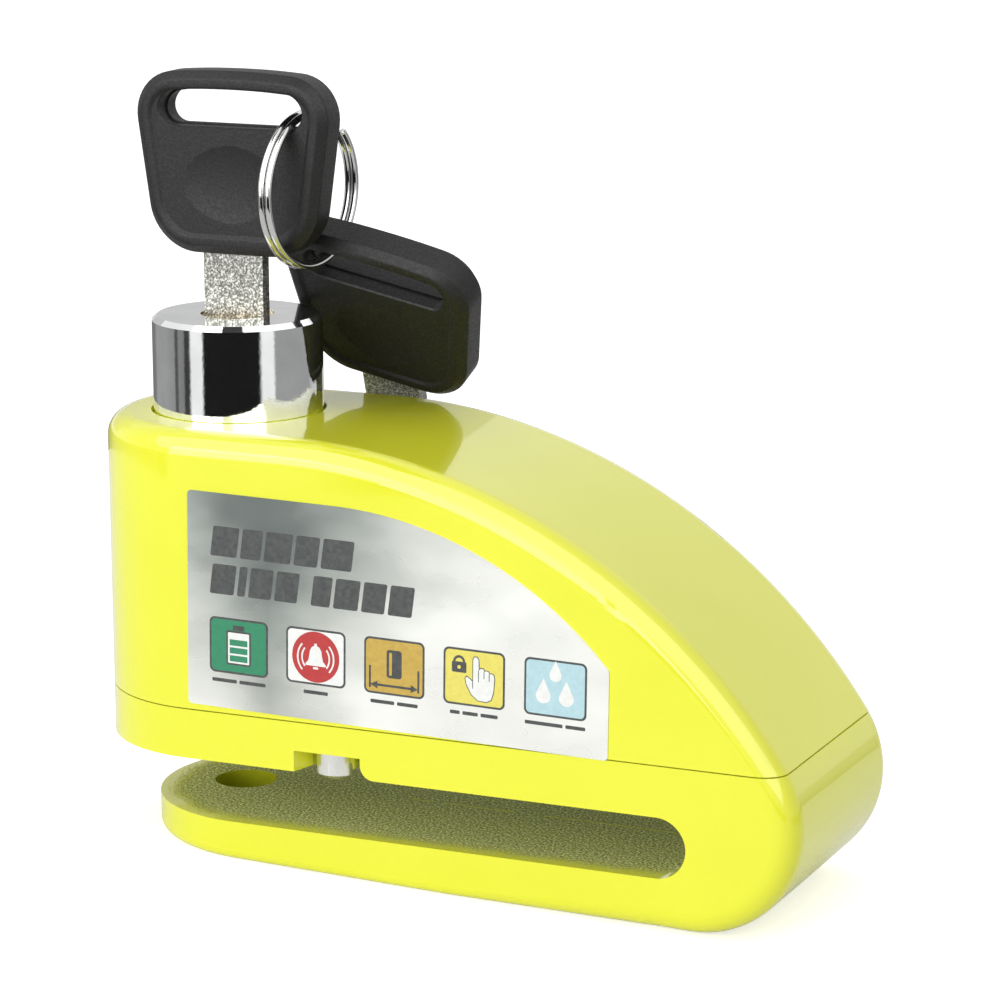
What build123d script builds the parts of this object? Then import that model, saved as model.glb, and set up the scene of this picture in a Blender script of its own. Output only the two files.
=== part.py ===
from build123d import *
import os
from math import asin, cos, pi, radians, sin, sqrt, tan

# Disc brake lock for a motorcycle, with an alarm inside.
# Frame: origin on the lock pin's axis at the level of the disc slot's floor,
# +X towards the closed end of the slot, -Y towards the labelled side, +Z up along the pin.
# The barrel is raised (unlocked), with the main key in it. All sizes are in millimetres.

# ---- body, outside ----
barrel_r = 10.1
barrel_side = 6.1          # body's flat sides outside the barrel
barrel_end = 5.4           # rounded left end of the upper jaw outside the barrel
jaw_short = 6.0            # lower jaw's rounded left end short of the upper jaw's
top_z = 46.0               # flat top around the barrel
top_flat_end_x = 13.5      # here the flat top turns into the long arc
top_arc_r = 73.0
nose_r = 12.8              # round corner at the closed end
jaw_thick = 4.53           # lower jaw at the pin's axis
bottom_slope = 1.72        # degrees that the underside falls towards the closed end
edge_r = 2.8               # round along both sides of the body
jaw_edge_r = 1.2           # lower jaw's bottom edge, around its left end
jaw_blend_x0 = 34.0        # from here to the next this edge grows to the body's
jaw_blend_x1 = 60.0
parting_z = 13.0           # joint between the base casting and the cover
parting_gap = 0.14         # open seam between the two castings

# ---- disc slot ----
slot_h = 7.1
slot_end_x = 63.5
pin_hole_r = 3.75          # hole in the lower jaw that the lock pin enters

# ---- walls ----
cover_wall = 2.4
cavity_floor_z = 10.2      # top face of the upper jaw, inside the body
cavity_corner_r = 3.0
floor_margin = 2.6         # base's hollow short of the cover's tongue

# ---- barrel and its travel ----
barrel_stand = 11.3        # raised barrel above the body's flat top
barrel_len = 34.9
barrel_chamfer = 0.6
barrel_travel = 11.0
barrel_fit = 0.06          # radial running clearance in the tower
cover_hole_gap = 0.32      # radial gap between the barrel and the cover's hole
tower_wall = 2.5
tower_floor_z = 11.0
tower_gap = 0.3            # tower's end below the cover's inner face
plug_r = 6.2
plug_nose_r = 4.3
plug_len = 18.6            # barrel's top face to the plug's lower end
plug_web = 2.3             # barrel's top web over the plug
plug_recess = 0.6          # plug nose below the barrel's top face
turn_fit = 0.05            # radial running clearance of the plug and the latch
spring_pocket_r = 8.0
spring_pocket_drop = 26.3  # barrel's top face to the top of the spring's pocket

# ---- lock pin and barrel foot ----
lock_pin_r = 3.5
lock_pin_tip_z = 7.6
lock_pin_drop = 28.3       # barrel's top face to the lock pin's seat
lock_pin_chamfer = 0.6
foot_play = 0.4            # between the plug and the foot
foot_len = 15.7
cross_pin_r = 1.0
cross_pin_drop = 30.8      # barrel's top face to the lock pin's cross pin
foot_pin_drop = 25.25      # barrel's top face to the foot's cross pin
stop_pin_r = 1.5
stop_pin_drop = 31.3       # barrel's raised top face to the stop pin
stop_pin_reach = 1.4       # how far the stop pin stands into the barrel

# ---- return spring ----
spring_wire_r = 0.5
spring_mean_r = 7.2
spring_turns = 5

# ---- latch ----
latch_r = 2.0
latch_drop = 22.1          # barrel's top face to the latch
latch_travel = 1.6
latch_tail_x = -4.0
latch_step = 1.2           # depth of the slot that the plug's tail works in
tail_r = 0.9
tail_offset = 2.2
tail_reach = 2.5
latch_spring_r = 1.4
latch_spring_wire_r = 0.25
latch_spring_turns = 5

# ---- keys ----
head_top_w = 26.6
head_bottom_w = 20.7
head_h = 21.8
head_thick = 5.0
head_shift = 0.6           # head's middle beside the blade's middle
head_top_arc = 0.9         # rise of the head's curved top edge
head_top_r = 5.3
head_bottom_r = 6.2
head_edge_r = 0.9
key_slot_w = 18.8
key_slot_h = 4.1
key_slot_z = 17.05         # slot's middle above the head's lower edge
blade_w = 7.8
blade_thick = 1.6
blade_len = 24.5
blade_tang = 8.0
blade_tip = 2.4
groove_w = 1.8             # groove along each side of the blade
groove_d = 0.35
groove_top = 8.5           # groove's end below the head
key_fit = 0.12
key_gap = 7.2              # head's lower edge above the barrel when the key is in

# ---- split ring ----
ring_wire = 0.85           # radial thickness of the wire
ring_width = 1.9           # two turns side by side
ring_mean_r = 8.95
ring_lift = 0.17           # ring above the key head, top and bottom shared alike
ring_yaw = -7.7            # degrees that the ring's axis is turned from +X
ring_hang = 8.0            # ring's middle in front of the barrel's rear side
ring_inset = 1.33          # ring's middle plane from the right end of the main key's slot
spare_contact = -56.5      # degrees round the ring, from straight back, to the spare key
spare_turn = (30.7, 13.0, -9.3)   # lean back, tilt to the right, turn about Z
spare_slot_rise = 1.10     # ring above the middle of the spare key's slot
spare_slot_inset = 3.00    # ring from the left end of the spare key's slot

# ---- cover screws in their notches ----
screw_x = 19.0
screw_side = 3.2           # screw's axis inside the flat side
screw_r = 1.5
screw_head_r = 2.5
screw_head_h = 3.2
screw_len = 12.0
screw_hex = 2.5
notch_top_z = 9.6
notch_wall_gap = 0.75
notch_left_x = 14.9
notch_right_x = 23.4
notch_flare_r = 1.7
boss_r = 3.1
boss_top_z = 27.0

# ---- gasket ----
gasket_inset = 0.7
gasket_w = 0.7
gasket_h = 0.9
gasket_fit = 0.04

# ---- label plate ----
label_left_x = 1.3
label_right_x = 54.2
label_bottom_z = 13.9
label_drop = 6.6           # body's top to the label's upper edge
label_arc_start_x = 20.0
label_arc_r = 46.2
label_thick = 0.15
label_corner_r = 0.5
label_turn = 1.0           # degrees that the label is stuck on crooked

# ---- alarm module ----
tray_x0 = 23.8
tray_margin = 4.6          # tray's end short of the base's hollow
tray_z0 = 10.4
tray_floor = 1.2
module_fit = 0.6           # tray short of the cover's inner faces
cell_r = 5.8
cell_h = 5.4
cell_pitch = 12.2
cell_first_x = 30.4
cell_axis_z = 17.8
cell_fit = 0.06
board_y = 0.4
board_thick = 1.6
board_clear = 2.92         # board's shoulder under the cover's inner face
board_shoulder = 9.0       # shoulder's place from the tray's end
board_step = 2.0           # board's top above its shoulder
board_end_drop = 7.0       # board's end below its shoulder
board_flat = 8.0           # end of the board's level top past the siren's middle
siren_inset = 25.4         # siren's middle from the tray's end
siren_z = 24.6
siren_r = 10.4
siren_wall = 1.2
siren_depth = 11.0
membrane_thick = 0.3
sound_hole_r = 0.9
sound_ring_r = 4.6
sound_holes = 8

half = barrel_r + barrel_side
body_left_x = -barrel_r - barrel_end
jaw_tip_x = body_left_x + jaw_short
arc_centre_z = top_z - top_arc_r
tilt = tan(radians(bottom_slope))
screw_y = half - screw_side
module_half_y = half - cover_wall - module_fit
barrel_top_z = top_z + barrel_stand
barrel_bottom_z = barrel_top_z - barrel_len
tower_r = barrel_r + tower_wall
plug_bottom_z = barrel_top_z - plug_len
spring_pocket_top_z = barrel_top_z - spring_pocket_drop
lock_pin_top_z = barrel_top_z - lock_pin_drop
foot_top_z = plug_bottom_z - foot_play
foot_bottom_z = foot_top_z - foot_len
cross_pin_z = barrel_top_z - cross_pin_drop
foot_pin_z = barrel_top_z - foot_pin_drop
stop_pin_z = barrel_top_z - stop_pin_drop
latch_z = barrel_top_z - latch_drop
key_stand = barrel_top_z + key_gap
ring_back = barrel_r - ring_hang
label_top_z = top_z - label_drop


def slab(x0, x1, y0, y1, z0, z1):
    """Box between two corners."""
    size = (x1 - x0, y1 - y0, z1 - z0)
    middle = ((x0 + x1) / 2, (y0 + y1) / 2, (z0 + z1) / 2)
    return Pos(*middle) * Box(*size)


def rod(r, z0, z1, x=0.0, y=0.0):
    """Upright cylinder from z0 to z1."""
    return Pos(x, y, (z0 + z1) / 2) * Cylinder(r, z1 - z0)


def rod_x(r, x0, x1, y=0.0, z=0.0):
    """Cylinder along X."""
    return Pos((x0 + x1) / 2, y, z) * Rot(0, 90, 0) * Cylinder(r, x1 - x0)


def rod_y(r, y0, y1, x=0.0, z=0.0):
    """Cylinder along Y."""
    return Pos(x, (y0 + y1) / 2, z) * Rot(90, 0, 0) * Cylinder(r, y1 - y0)


def coil(mean_r, wire_r, height, turns):
    """Coil spring about +Z from z = 0 to z = height, as one swept wire."""
    rise = height - 2 * wire_r
    path = Helix(pitch=rise / turns, height=rise, radius=mean_r)
    start = Plane(origin=path @ 0, z_dir=path % 0)
    wire = sweep(start * Circle(wire_r), path=path, is_frenet=True)
    return Pos(0, 0, wire_r) * wire


def top_arc_z(x, inset=0.0):
    """Height of the long arc, or of the cavity's arc at a wall's inset."""
    return arc_centre_z + sqrt((top_arc_r - inset) ** 2 - (x - top_flat_end_x) ** 2)


def arc_x(z, inset=0.0):
    """How far right the long arc, or the cavity's arc, reaches at a height."""
    return top_flat_end_x + sqrt((top_arc_r - inset) ** 2 - (z - arc_centre_z) ** 2)


def side_profile(inset=0.0):
    """Side view of the body, left of which the plan rounds it off."""
    r = top_arc_r - inset
    left = body_left_x - half
    bottom_at_left = -jaw_thick - tilt * left
    # where the long arc meets the sloping underside
    a = 1 + tilt ** 2
    b = 2 * (tilt * (jaw_thick + arc_centre_z + tilt * top_flat_end_x))
    c = (jaw_thick + arc_centre_z + tilt * top_flat_end_x) ** 2 - r ** 2
    run = (-b + sqrt(b ** 2 - 4 * a * c)) / (2 * a)
    corner = (top_flat_end_x + run, -jaw_thick - tilt * (top_flat_end_x + run))
    half_turn = asin(run / r) / 2
    middle = (top_flat_end_x + r * sin(half_turn), arc_centre_z + r * cos(half_turn))
    shoulder = (top_flat_end_x, top_z - inset)
    outline = Curve() + [
        Line((left, bottom_at_left), (left, top_z - inset)),
        Line((left, top_z - inset), shoulder),
        ThreePointArc(shoulder, middle, corner),
        Line(corner, (left, bottom_at_left)),
    ]
    face = make_face(Plane.XZ * outline)
    sharp = face.vertices().sort_by(Axis.X)[-1]
    return fillet(sharp, nose_r) if inset == 0 else face


def plan(left_x, half_width, right_x=120.0):
    """Plan view with a round left end, as a flat face."""
    middle = left_x + half_width
    straight = Pos((middle + right_x) / 2, 0) * Rectangle(right_x - middle, 2 * half_width)
    return straight + Pos(middle, 0) * Circle(half_width)


def upright(face, z0, z1):
    """Prism over a plan face."""
    return Pos(0, 0, z0) * extrude(face, amount=z1 - z0)


def rounded_body(left_x, r):
    """Whole outer form with its long edges rounded."""
    form = extrude(side_profile(), amount=half, both=True)
    form = form & upright(plan(left_x, half), -40, 80)
    across = form.edges().filter_by(Axis.Y)
    standing = form.edges().filter_by(Axis.Z)
    rims = [e for e in form.edges() if e not in across and e not in standing]
    return fillet(rims, r)


def across_jaw(x):
    """Plane square to the underside, with its own origin on it."""
    return Plane((x, 0, -jaw_thick - tilt * x), x_dir=(0, 1, 0), z_dir=(1, 0, -tilt))


def jaw_section(x, r):
    """Lower jaw in cross-section, with its bottom corners rounded."""
    h = 2 * slot_h
    outline = Curve() + [
        Line((r - half, 0), (half - r, 0)),
        CenterArc((half - r, r), r, 270, 90),
        Line((half, r), (half, h)),
        Line((half, h), (-half, h)),
        Line((-half, h), (-half, r)),
        CenterArc((r - half, r), r, 180, 90),
    ]
    return across_jaw(x) * make_face(outline)


def keep_between(shape, z0, z1):
    return shape & slab(-60, 140, -60, 60, z0, z1)


def cavity(z0, z1, inset):
    """Space inside the walls, closed by the long arc."""
    form = extrude(side_profile(inset), amount=half - inset, both=True)
    form = form & upright(plan(body_left_x + inset, half - inset), -40, 80)
    return keep_between(form, z0, z1)


def mirrored(shape):
    return shape + mirror(shape, Plane.XZ)


body_form = rounded_body(body_left_x, edge_r)


def lower_jaw():
    """Everything below the middle of the slot."""
    tip = split(rounded_body(jaw_tip_x, jaw_edge_r), across_jaw(jaw_blend_x0), keep=Keep.BOTTOM)
    sections = [jaw_section(jaw_blend_x0, jaw_edge_r), jaw_section(jaw_blend_x1, edge_r)]
    rest = split(rounded_body(jaw_tip_x, edge_r), across_jaw(jaw_blend_x1), keep=Keep.TOP)
    pieces = [keep_between(piece, -40, slot_h / 2) for piece in (tip, loft(sections, ruled=True), rest)]
    return pieces[0] + pieces[1] + pieces[2]


# ================= base casting =================
def disc_slot():
    end_x = slot_end_x - slot_h / 2
    return slab(-60, end_x, -60, 60, 0, slot_h) + rod_y(slot_h / 2, -60, 60, end_x, slot_h / 2)


def notch():
    """Recess for a screw head, open to the side, with a flared right foot."""
    r = screw_head_r + notch_wall_gap
    y = -screw_y
    mouth = Polyline(
        (notch_left_x, -half - 1), (notch_left_x, -half), (screw_x - r, y),
        (screw_x + r, y), (notch_right_x, -half), (notch_right_x, -half - 1), close=True,
    )
    low = slot_h - 1
    pocket = upright(make_face(mouth), low, notch_top_z) + rod(r, low, notch_top_z, screw_x, y)
    flare_x = notch_right_x + notch_flare_r
    flare_z = slot_h + notch_flare_r
    foot = slab(notch_right_x - 1, flare_x, -half - 1, y, low, flare_z)
    return pocket + (foot - rod_y(notch_flare_r, -half - 2, y + 1, flare_x, flare_z))


def gasket_band(inset, z0, z1):
    """Loop that follows the wall in the parting plane."""
    face = plan(body_left_x + inset, half - inset, arc_x(parting_z) - inset)
    corners = face.vertices().group_by(Axis.X)[-1]
    return upright(fillet(corners, cavity_corner_r), z0, z1)


def gasket_loop(fit, z0, z1):
    outer = gasket_band(gasket_inset - fit, z0, z1)
    return outer - gasket_band(gasket_inset + gasket_w + fit, z0 - 1, z1 + 1)


def inner_floor():
    """Shallow tray in the base under the cover's hollow."""
    face = plan(body_left_x + cover_wall, half - cover_wall, tongue_x0 - floor_margin)
    corners = face.vertices().group_by(Axis.X)[-1]
    return upright(fillet(corners, cavity_corner_r), cavity_floor_z, parting_z + 1)


tower_top_z = top_z - cover_wall - tower_gap
oring_r = 0.75
oring_z = tower_top_z - 2.4
oring_fit = 0.05
pocket_play = 0.3
stop_slot_low_z = stop_pin_z - stop_pin_r - barrel_fit
stop_slot_high_z = stop_pin_z + barrel_travel + stop_pin_r + barrel_fit
tongue_root_h = 3.0        # height over which the tongue joins the cover's end wall
tongue_bite = 2.02         # how far it reaches into that wall
tongue_thick = 2.8
tongue_x1 = arc_x(parting_z + parting_gap + tongue_root_h, cover_wall) + tongue_bite
tongue_x0 = tongue_x1 - tongue_thick
tongue_half_y = 5.0
tongue_depth = 2.0
tongue_fit = 0.15
tray_x1 = tongue_x0 - floor_margin - tray_margin
siren_x = tray_x1 - siren_inset
board_shoulder_x = tray_x1 - board_shoulder
board_shoulder_z = top_arc_z(board_shoulder_x, cover_wall) - board_clear
board_top_z = board_shoulder_z + board_step
contact_y = board_y
contact_thick = 0.3
contact_z0 = board_top_z - 2.2
contact_z1 = board_top_z - 0.2
contact_window = 0.5
contact_fit = 0.25
contact_lap = 3.0


def base_casting():
    upper = keep_between(body_form, slot_h / 2, parting_z)
    part = lower_jaw() + upper - disc_slot() - inner_floor()
    part += rod(tower_r, cavity_floor_z, tower_top_z)
    boss = rod(boss_r, cavity_floor_z, parting_z, screw_x, -screw_y)
    part += mirrored(boss) & upright(plan(body_left_x, half), 0, parting_z)
    part -= rod(barrel_r + barrel_fit, tower_floor_z, tower_top_z + 1)
    part -= rod(barrel_r + 2 * oring_r + oring_fit, oring_z - oring_r, oring_z + oring_r)
    part -= rod(lock_pin_r + barrel_fit, 1, tower_floor_z + 1)
    part -= rod(pin_hole_r, -40, 1)
    # pockets that take the latch: the upper with the barrel raised, the lower with it locked
    reach = barrel_r + latch_travel + pocket_play
    side = latch_r + pocket_play
    for z in (latch_z, latch_z - barrel_travel):
        part -= slab(0, reach, -side, side, z - side, z + side)
    # ramp under the upper pocket, so that pressing the barrel drives the latch back
    low = latch_z - side
    back = barrel_r - 1
    ramp = Polyline((back, low), (reach, low), (back, low - (reach - back)), close=True)
    part -= extrude(Plane.XZ * make_face(ramp), amount=side, both=True)
    part -= rod_x(stop_pin_r, -half, -barrel_r + stop_pin_reach, 0, stop_pin_z)
    part -= mirrored(notch())
    part -= mirrored(rod(screw_r + 0.1, 0, parting_z + 1, screw_x, -screw_y))
    part -= gasket_loop(gasket_fit, parting_z - gasket_h + parting_gap, parting_z + 1)
    part -= slab(
        tongue_x0 - tongue_fit, tongue_x1 + tongue_fit,
        -tongue_half_y - tongue_fit, tongue_half_y + tongue_fit,
        parting_z - tongue_depth - tongue_fit, parting_z + 1,
    )
    part -= slab(
        barrel_r - 1, tower_r + 1, contact_y - contact_thick - contact_window, contact_y + contact_window,
        contact_z0 - contact_window, contact_z1 + contact_window,
    )
    return part


# ================= cover =================
def sound_grille():
    holes = rod_y(sound_hole_r, 0, half + 1, siren_x, siren_z)
    for i in range(sound_holes):
        a = 2 * pi * i / sound_holes
        holes += rod_y(
            sound_hole_r, 0, half + 1, siren_x + sound_ring_r * cos(a), siren_z + sound_ring_r * sin(a)
        )
    return holes


def cover():
    low = parting_z + parting_gap
    part = keep_between(body_form, low, 80) - cavity(low - 1, 80, cover_wall)
    boss = rod(boss_r, low, boss_top_z, screw_x, -screw_y)
    part += mirrored(boss) & keep_between(body_form, low, 80)
    part += slab(
        tongue_x0, tongue_x1, -tongue_half_y, tongue_half_y, low, low + tongue_root_h
    ) & body_form
    part += slab(
        tongue_x0, tongue_x1, -tongue_half_y, tongue_half_y, parting_z - tongue_depth, low
    )
    part -= mirrored(rod(screw_r, 0, notch_top_z + screw_len + 1, screw_x, -screw_y))
    part -= rod(barrel_r + cover_hole_gap, top_z - cover_wall - 1, top_z + 1)
    return part - sound_grille()


def cover_gasket():
    return gasket_loop(0, parting_z - gasket_h + parting_gap, parting_z + parting_gap)


def cover_screws():
    """Two socket-head screws, driven from the slot."""
    head = rod(screw_head_r, notch_top_z - screw_head_h, notch_top_z, screw_x, -screw_y)
    rim = head.edges().group_by(Axis.Z)[0]
    head = chamfer(rim, 0.45)
    socket = RegularPolygon(screw_hex / 2, 6, major_radius=False)
    low = notch_top_z - screw_head_h
    head -= Pos(screw_x, -screw_y, low) * extrude(socket, amount=1.6)
    screw = head + rod(screw_r, notch_top_z, notch_top_z + screw_len, screw_x, -screw_y)
    return Compound([screw, mirror(screw, Plane.XZ)])


def label_plate():
    drop_run = label_right_x - label_arc_start_x
    corner_z = label_top_z - label_arc_r + sqrt(label_arc_r ** 2 - drop_run ** 2)
    turn = asin(drop_run / label_arc_r) / 2
    middle = (
        label_arc_start_x + label_arc_r * sin(turn), label_top_z - label_arc_r * (1 - cos(turn))
    )
    outline = Curve() + [
        Line((label_left_x, label_bottom_z), (label_left_x, label_top_z)),
        Line((label_left_x, label_top_z), (label_arc_start_x, label_top_z)),
        ThreePointArc((label_arc_start_x, label_top_z), middle, (label_right_x, corner_z)),
        Line((label_right_x, corner_z), (label_right_x, label_bottom_z)),
        Line((label_right_x, label_bottom_z), (label_left_x, label_bottom_z)),
    ]
    face = make_face(outline)
    sharp = [v for v in face.vertices() if abs(v.X - label_arc_start_x) > 1]
    face = fillet(sharp, label_corner_r)
    # turned a little about its lower left corner, then laid on the flat side
    pivot = Pos(label_left_x, label_bottom_z)
    face = pivot * Rot(0, 0, -label_turn) * pivot.inverse() * face
    return Pos(0, -half, 0) * extrude(Plane.XZ * face, amount=label_thick)


# ================= barrel =================
plug_bore_top_z = barrel_top_z - plug_web
keyway_w = blade_w + 2 * key_fit
keyway_t = blade_thick + 2 * key_fit
wafer_t = 0.9
wafer_pitch = 2.6
wafer_count = 5
wafer_w = 11.0
wafer_d = 5.2
wafer_first_z = barrel_top_z - 14.9
wafer_window = 0.6
wafer_travel = 0.6
wafer_gap = 0.1
clip_t = 0.6
clip_groove = 0.7
clip_z = plug_bottom_z + 0.7


def wafer_z(i):
    return wafer_first_z + i * wafer_pitch


def barrel():
    part = rod(barrel_r, barrel_bottom_z, barrel_top_z)
    part = chamfer(part.edges().group_by(Axis.Z)[-1], barrel_chamfer)
    part -= rod(plug_r + turn_fit, barrel_bottom_z - 1, plug_bore_top_z)
    part -= rod(plug_nose_r + turn_fit, plug_bore_top_z - 1, barrel_top_z + 1)
    part -= rod(spring_pocket_r, barrel_bottom_z - 1, spring_pocket_top_z)
    part -= rod_x(latch_r + turn_fit, 0, barrel_r + 1, 0, latch_z)
    deep = barrel_r - stop_pin_reach - 0.1
    part -= slab(
        -barrel_r - 1, -deep, -stop_pin_r - barrel_fit, stop_pin_r + barrel_fit,
        stop_slot_low_z, stop_slot_high_z,
    )
    part -= rod_y(cross_pin_r, -barrel_r - 1, barrel_r + 1, 0, foot_pin_z)
    # grooves that the wafers spring into without the key, at either end of its turn
    low = wafer_first_z - wafer_gap
    high = wafer_z(wafer_count - 1) + wafer_t + wafer_gap
    side = wafer_d / 2 + wafer_gap
    reach = wafer_w / 2 + wafer_travel + wafer_gap
    part -= slab(0, reach, -side, side, low, high)
    part -= slab(-side, side, 0, reach, low, high)
    # access to the pin that holds the lock pin
    part -= rod_y(cross_pin_r + 0.1, -barrel_r - 1, barrel_r + 1, 0, cross_pin_z)
    return part


def barrel_foot():
    """Insert that carries the lock pin and the latch, held by a cross pin."""
    part = rod(plug_r, foot_bottom_z, foot_top_z)
    part -= rod(lock_pin_r, foot_bottom_z - 1, lock_pin_top_z)
    part -= rod_x(latch_r + turn_fit, latch_tail_x - 0.1, plug_r + 1, 0, latch_z)
    part -= rod_x(latch_spring_r + 0.4, -plug_r + 1, 0, 0, latch_z)
    part -= rod(tail_offset + tail_r + 0.5, latch_z, foot_top_z + 1)
    part -= rod_y(cross_pin_r, -plug_r - 1, plug_r + 1, 0, cross_pin_z)
    return part - rod_y(cross_pin_r, -plug_r - 1, plug_r + 1, 0, foot_pin_z)


def lock_pin():
    part = rod(lock_pin_r, lock_pin_tip_z, lock_pin_top_z)
    part = chamfer(part.edges().group_by(Axis.Z)[0], lock_pin_chamfer)
    return part - rod_y(cross_pin_r, -plug_r - 1, plug_r + 1, 0, cross_pin_z)


def lock_pin_cross_pin():
    return rod_y(cross_pin_r, -plug_r + 0.1, plug_r - 0.1, 0, cross_pin_z)


def foot_cross_pin():
    return rod_y(cross_pin_r, -barrel_r + 0.3, barrel_r - 0.3, 0, foot_pin_z)


def barrel_stop_pin():
    return rod_x(stop_pin_r, -tower_r + 0.1, -barrel_r + stop_pin_reach, 0, stop_pin_z)


def return_spring():
    height = spring_pocket_top_z - tower_floor_z - 0.1
    return Pos(0, 0, tower_floor_z + 0.05) * coil(
        spring_mean_r, spring_wire_r, height, spring_turns
    )


def barrel_o_ring():
    ring = Torus(barrel_r + oring_fit + oring_r, oring_r - oring_fit / 2)
    return Pos(0, 0, oring_z) * ring


# ================= key plug =================
def key_plug():
    part = rod(plug_r, plug_bottom_z, plug_bore_top_z - 0.1)
    part += rod(plug_nose_r, plug_bore_top_z - 0.2, barrel_top_z - plug_recess)
    part += rod(tail_r, plug_bottom_z - tail_reach, plug_bottom_z, -tail_offset, 0)
    low = key_stand - blade_len - 0.1
    part -= slab(-keyway_w / 2, keyway_w / 2, -keyway_t / 2, keyway_t / 2, low, barrel_top_z)
    for i in range(wafer_count):
        z = wafer_z(i)
        part -= slab(-plug_r, plug_r, -wafer_d / 2, wafer_d / 2, z - 0.03, z + wafer_t + 0.03)
    ring = rod(plug_r + 1, clip_z, clip_z + clip_t) - rod(plug_r - clip_groove, clip_z, clip_z + clip_t)
    return part - ring


def wafers():
    """Five plates across the keyway, each with a window for the blade."""
    plates = []
    for i in range(wafer_count):
        z = wafer_z(i)
        plate = slab(-wafer_w / 2, wafer_w / 2, -wafer_d / 2 + 0.03, wafer_d / 2 - 0.03, z, z + wafer_t)
        window = slab(
            -keyway_w / 2 - wafer_window, keyway_w / 2 + wafer_window,
            -keyway_t / 2 - 0.2, keyway_t / 2 + 0.2, z - 1, z + wafer_t + 1,
        )
        plates.append(plate - window)
    return Compound(plates)


def plug_clip():
    """Open clip in the plug's groove, which keeps the plug from rising out."""
    r = plug_r + turn_fit - 0.02
    part = rod(r, clip_z + 0.05, clip_z + clip_t - 0.05)
    part -= rod(plug_r - clip_groove + 0.02, clip_z, clip_z + clip_t)
    return part - slab(0, plug_r + 2, -1.5, 1.5, clip_z - 1, clip_z + 2)


# ================= latch =================
def latch():
    part = rod_x(latch_r, latch_tail_x, barrel_r - 0.1, 0, latch_z)
    part = chamfer(part.edges().group_by(Axis.X)[-1], 0.7)
    slot_x0 = -tail_offset - tail_r - 0.4
    slot_x1 = -tail_r + 0.4
    return part - slab(slot_x0, slot_x1, -5, 5, latch_z + latch_r - latch_step, latch_z + 5)


def latch_spring():
    start = -plug_r + 1.1
    spring = coil(latch_spring_r, latch_spring_wire_r, latch_tail_x - start - 0.05, latch_spring_turns)
    return Pos(start, 0, latch_z) * Rot(0, 90, 0) * spring


# ================= keys and ring =================
def key_head():
    """Plastic head, blade axis on local Z, lower edge at z = 0."""
    wt, wb = head_top_w / 2, head_bottom_w / 2
    top = head_h - head_top_arc
    outline = Curve() + [
        Line((-wb, 0), (-wt, top)),
        ThreePointArc((-wt, top), (0, head_h), (wt, top)),
        Line((wt, top), (wb, 0)),
        Line((wb, 0), (-wb, 0)),
    ]
    face = make_face(outline)
    levels = face.vertices().group_by(Axis.Y)
    face = fillet(levels[0], head_bottom_r)
    face = fillet(face.vertices().group_by(Axis.Y)[-1], head_top_r)
    opening = Pos(0, key_slot_z) * SlotOverall(key_slot_w, key_slot_h)
    solid = extrude(Plane.XZ * (face - opening), amount=head_thick / 2, both=True)
    flat_rims = [e for e in solid.edges() if abs(abs(e.center().Y) - head_thick / 2) < 0.01]
    solid = fillet(flat_rims, head_edge_r)
    solid = Pos(head_shift, 0, 0) * solid
    tang = slab(-blade_w / 2, blade_w / 2, -blade_thick / 2, blade_thick / 2, -1, blade_tang)
    return solid - tang


def key_blade():
    part = slab(
        -blade_w / 2, blade_w / 2, -blade_thick / 2, blade_thick / 2, -blade_len, blade_tang
    )
    tip = part.edges().filter_by(Axis.Y).group_by(Axis.Z)[0]
    part = chamfer(tip, blade_tip)
    for side in (-1, 1):
        y0, y1 = sorted((side * (blade_thick / 2 - groove_d), side * (blade_thick / 2 + 1)))
        part -= slab(-groove_w / 2, groove_w / 2, y0, y1, -blade_len - 1, -groove_top)
    return part


main_place = Pos(0, 0, key_stand)
slot_right = head_shift + key_slot_w / 2
ring_x = slot_right - ring_inset
head_reach = key_slot_z - key_slot_h / 2
ring_z = key_stand + head_reach / 2 + ring_lift
ring_turned = Pos(ring_x, ring_back, ring_z) * Rot(0, 0, ring_yaw)


def split_ring():
    """Two flat turns of wire about the ring's own axis."""
    section = Rectangle(ring_wire, ring_width)
    section = fillet(section.vertices(), 0.3)
    loop = revolve(Plane.XZ * Pos(ring_mean_r, 0) * section, Axis.Z)
    return ring_turned * Rot(0, 90, 0) * loop


contact_angle = radians(spare_contact)
contact_point = ring_turned * Pos(0, ring_mean_r * cos(contact_angle), ring_mean_r * sin(contact_angle))
lean, tilt_right, spin = spare_turn
spare_rotation = Rot(0, 0, spin) * Rot(lean, 0, 0) * Rot(0, tilt_right, 0)
spare_hang = Pos(
    -(head_shift - key_slot_w / 2 + spare_slot_inset), 0, -key_slot_z - spare_slot_rise
)
spare_place = Pos(*contact_point.position) * spare_rotation * spare_hang


# ================= alarm module =================
cell_xs = [cell_first_x + i * cell_pitch for i in range(3)]
cell_y1 = board_y - 2.0
cell_y0 = cell_y1 - 2 * cell_h
tray_top_z = cell_axis_z
contact_r = 4.0
spring_r = 3.0
contact_plate = 0.5
saddle_w = 16.0
saddle_gap = 1.5           # between the board and the siren's saddle
saddle_top_z = 18.0


def module_tray():
    """Plastic cradle: battery troughs in front, a saddle for the siren behind."""
    part = slab(tray_x0, tray_x1, -module_half_y, module_half_y, tray_z0, tray_z0 + tray_floor)
    part += slab(tray_x0, tray_x1, -module_half_y, board_y - 0.1, tray_z0, tray_top_z)
    for x in cell_xs:
        part -= rod_y(cell_r + cell_fit, cell_y0 - contact_plate, board_y + 1, x, cell_axis_z)
    saddle = slab(
        siren_x - saddle_w / 2, siren_x + saddle_w / 2,
        board_y + board_thick + saddle_gap, module_half_y, tray_z0, saddle_top_z,
    )
    part += saddle - rod_y(siren_r + 0.05, 0, module_half_y + 1, siren_x, siren_z)
    return part


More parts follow.
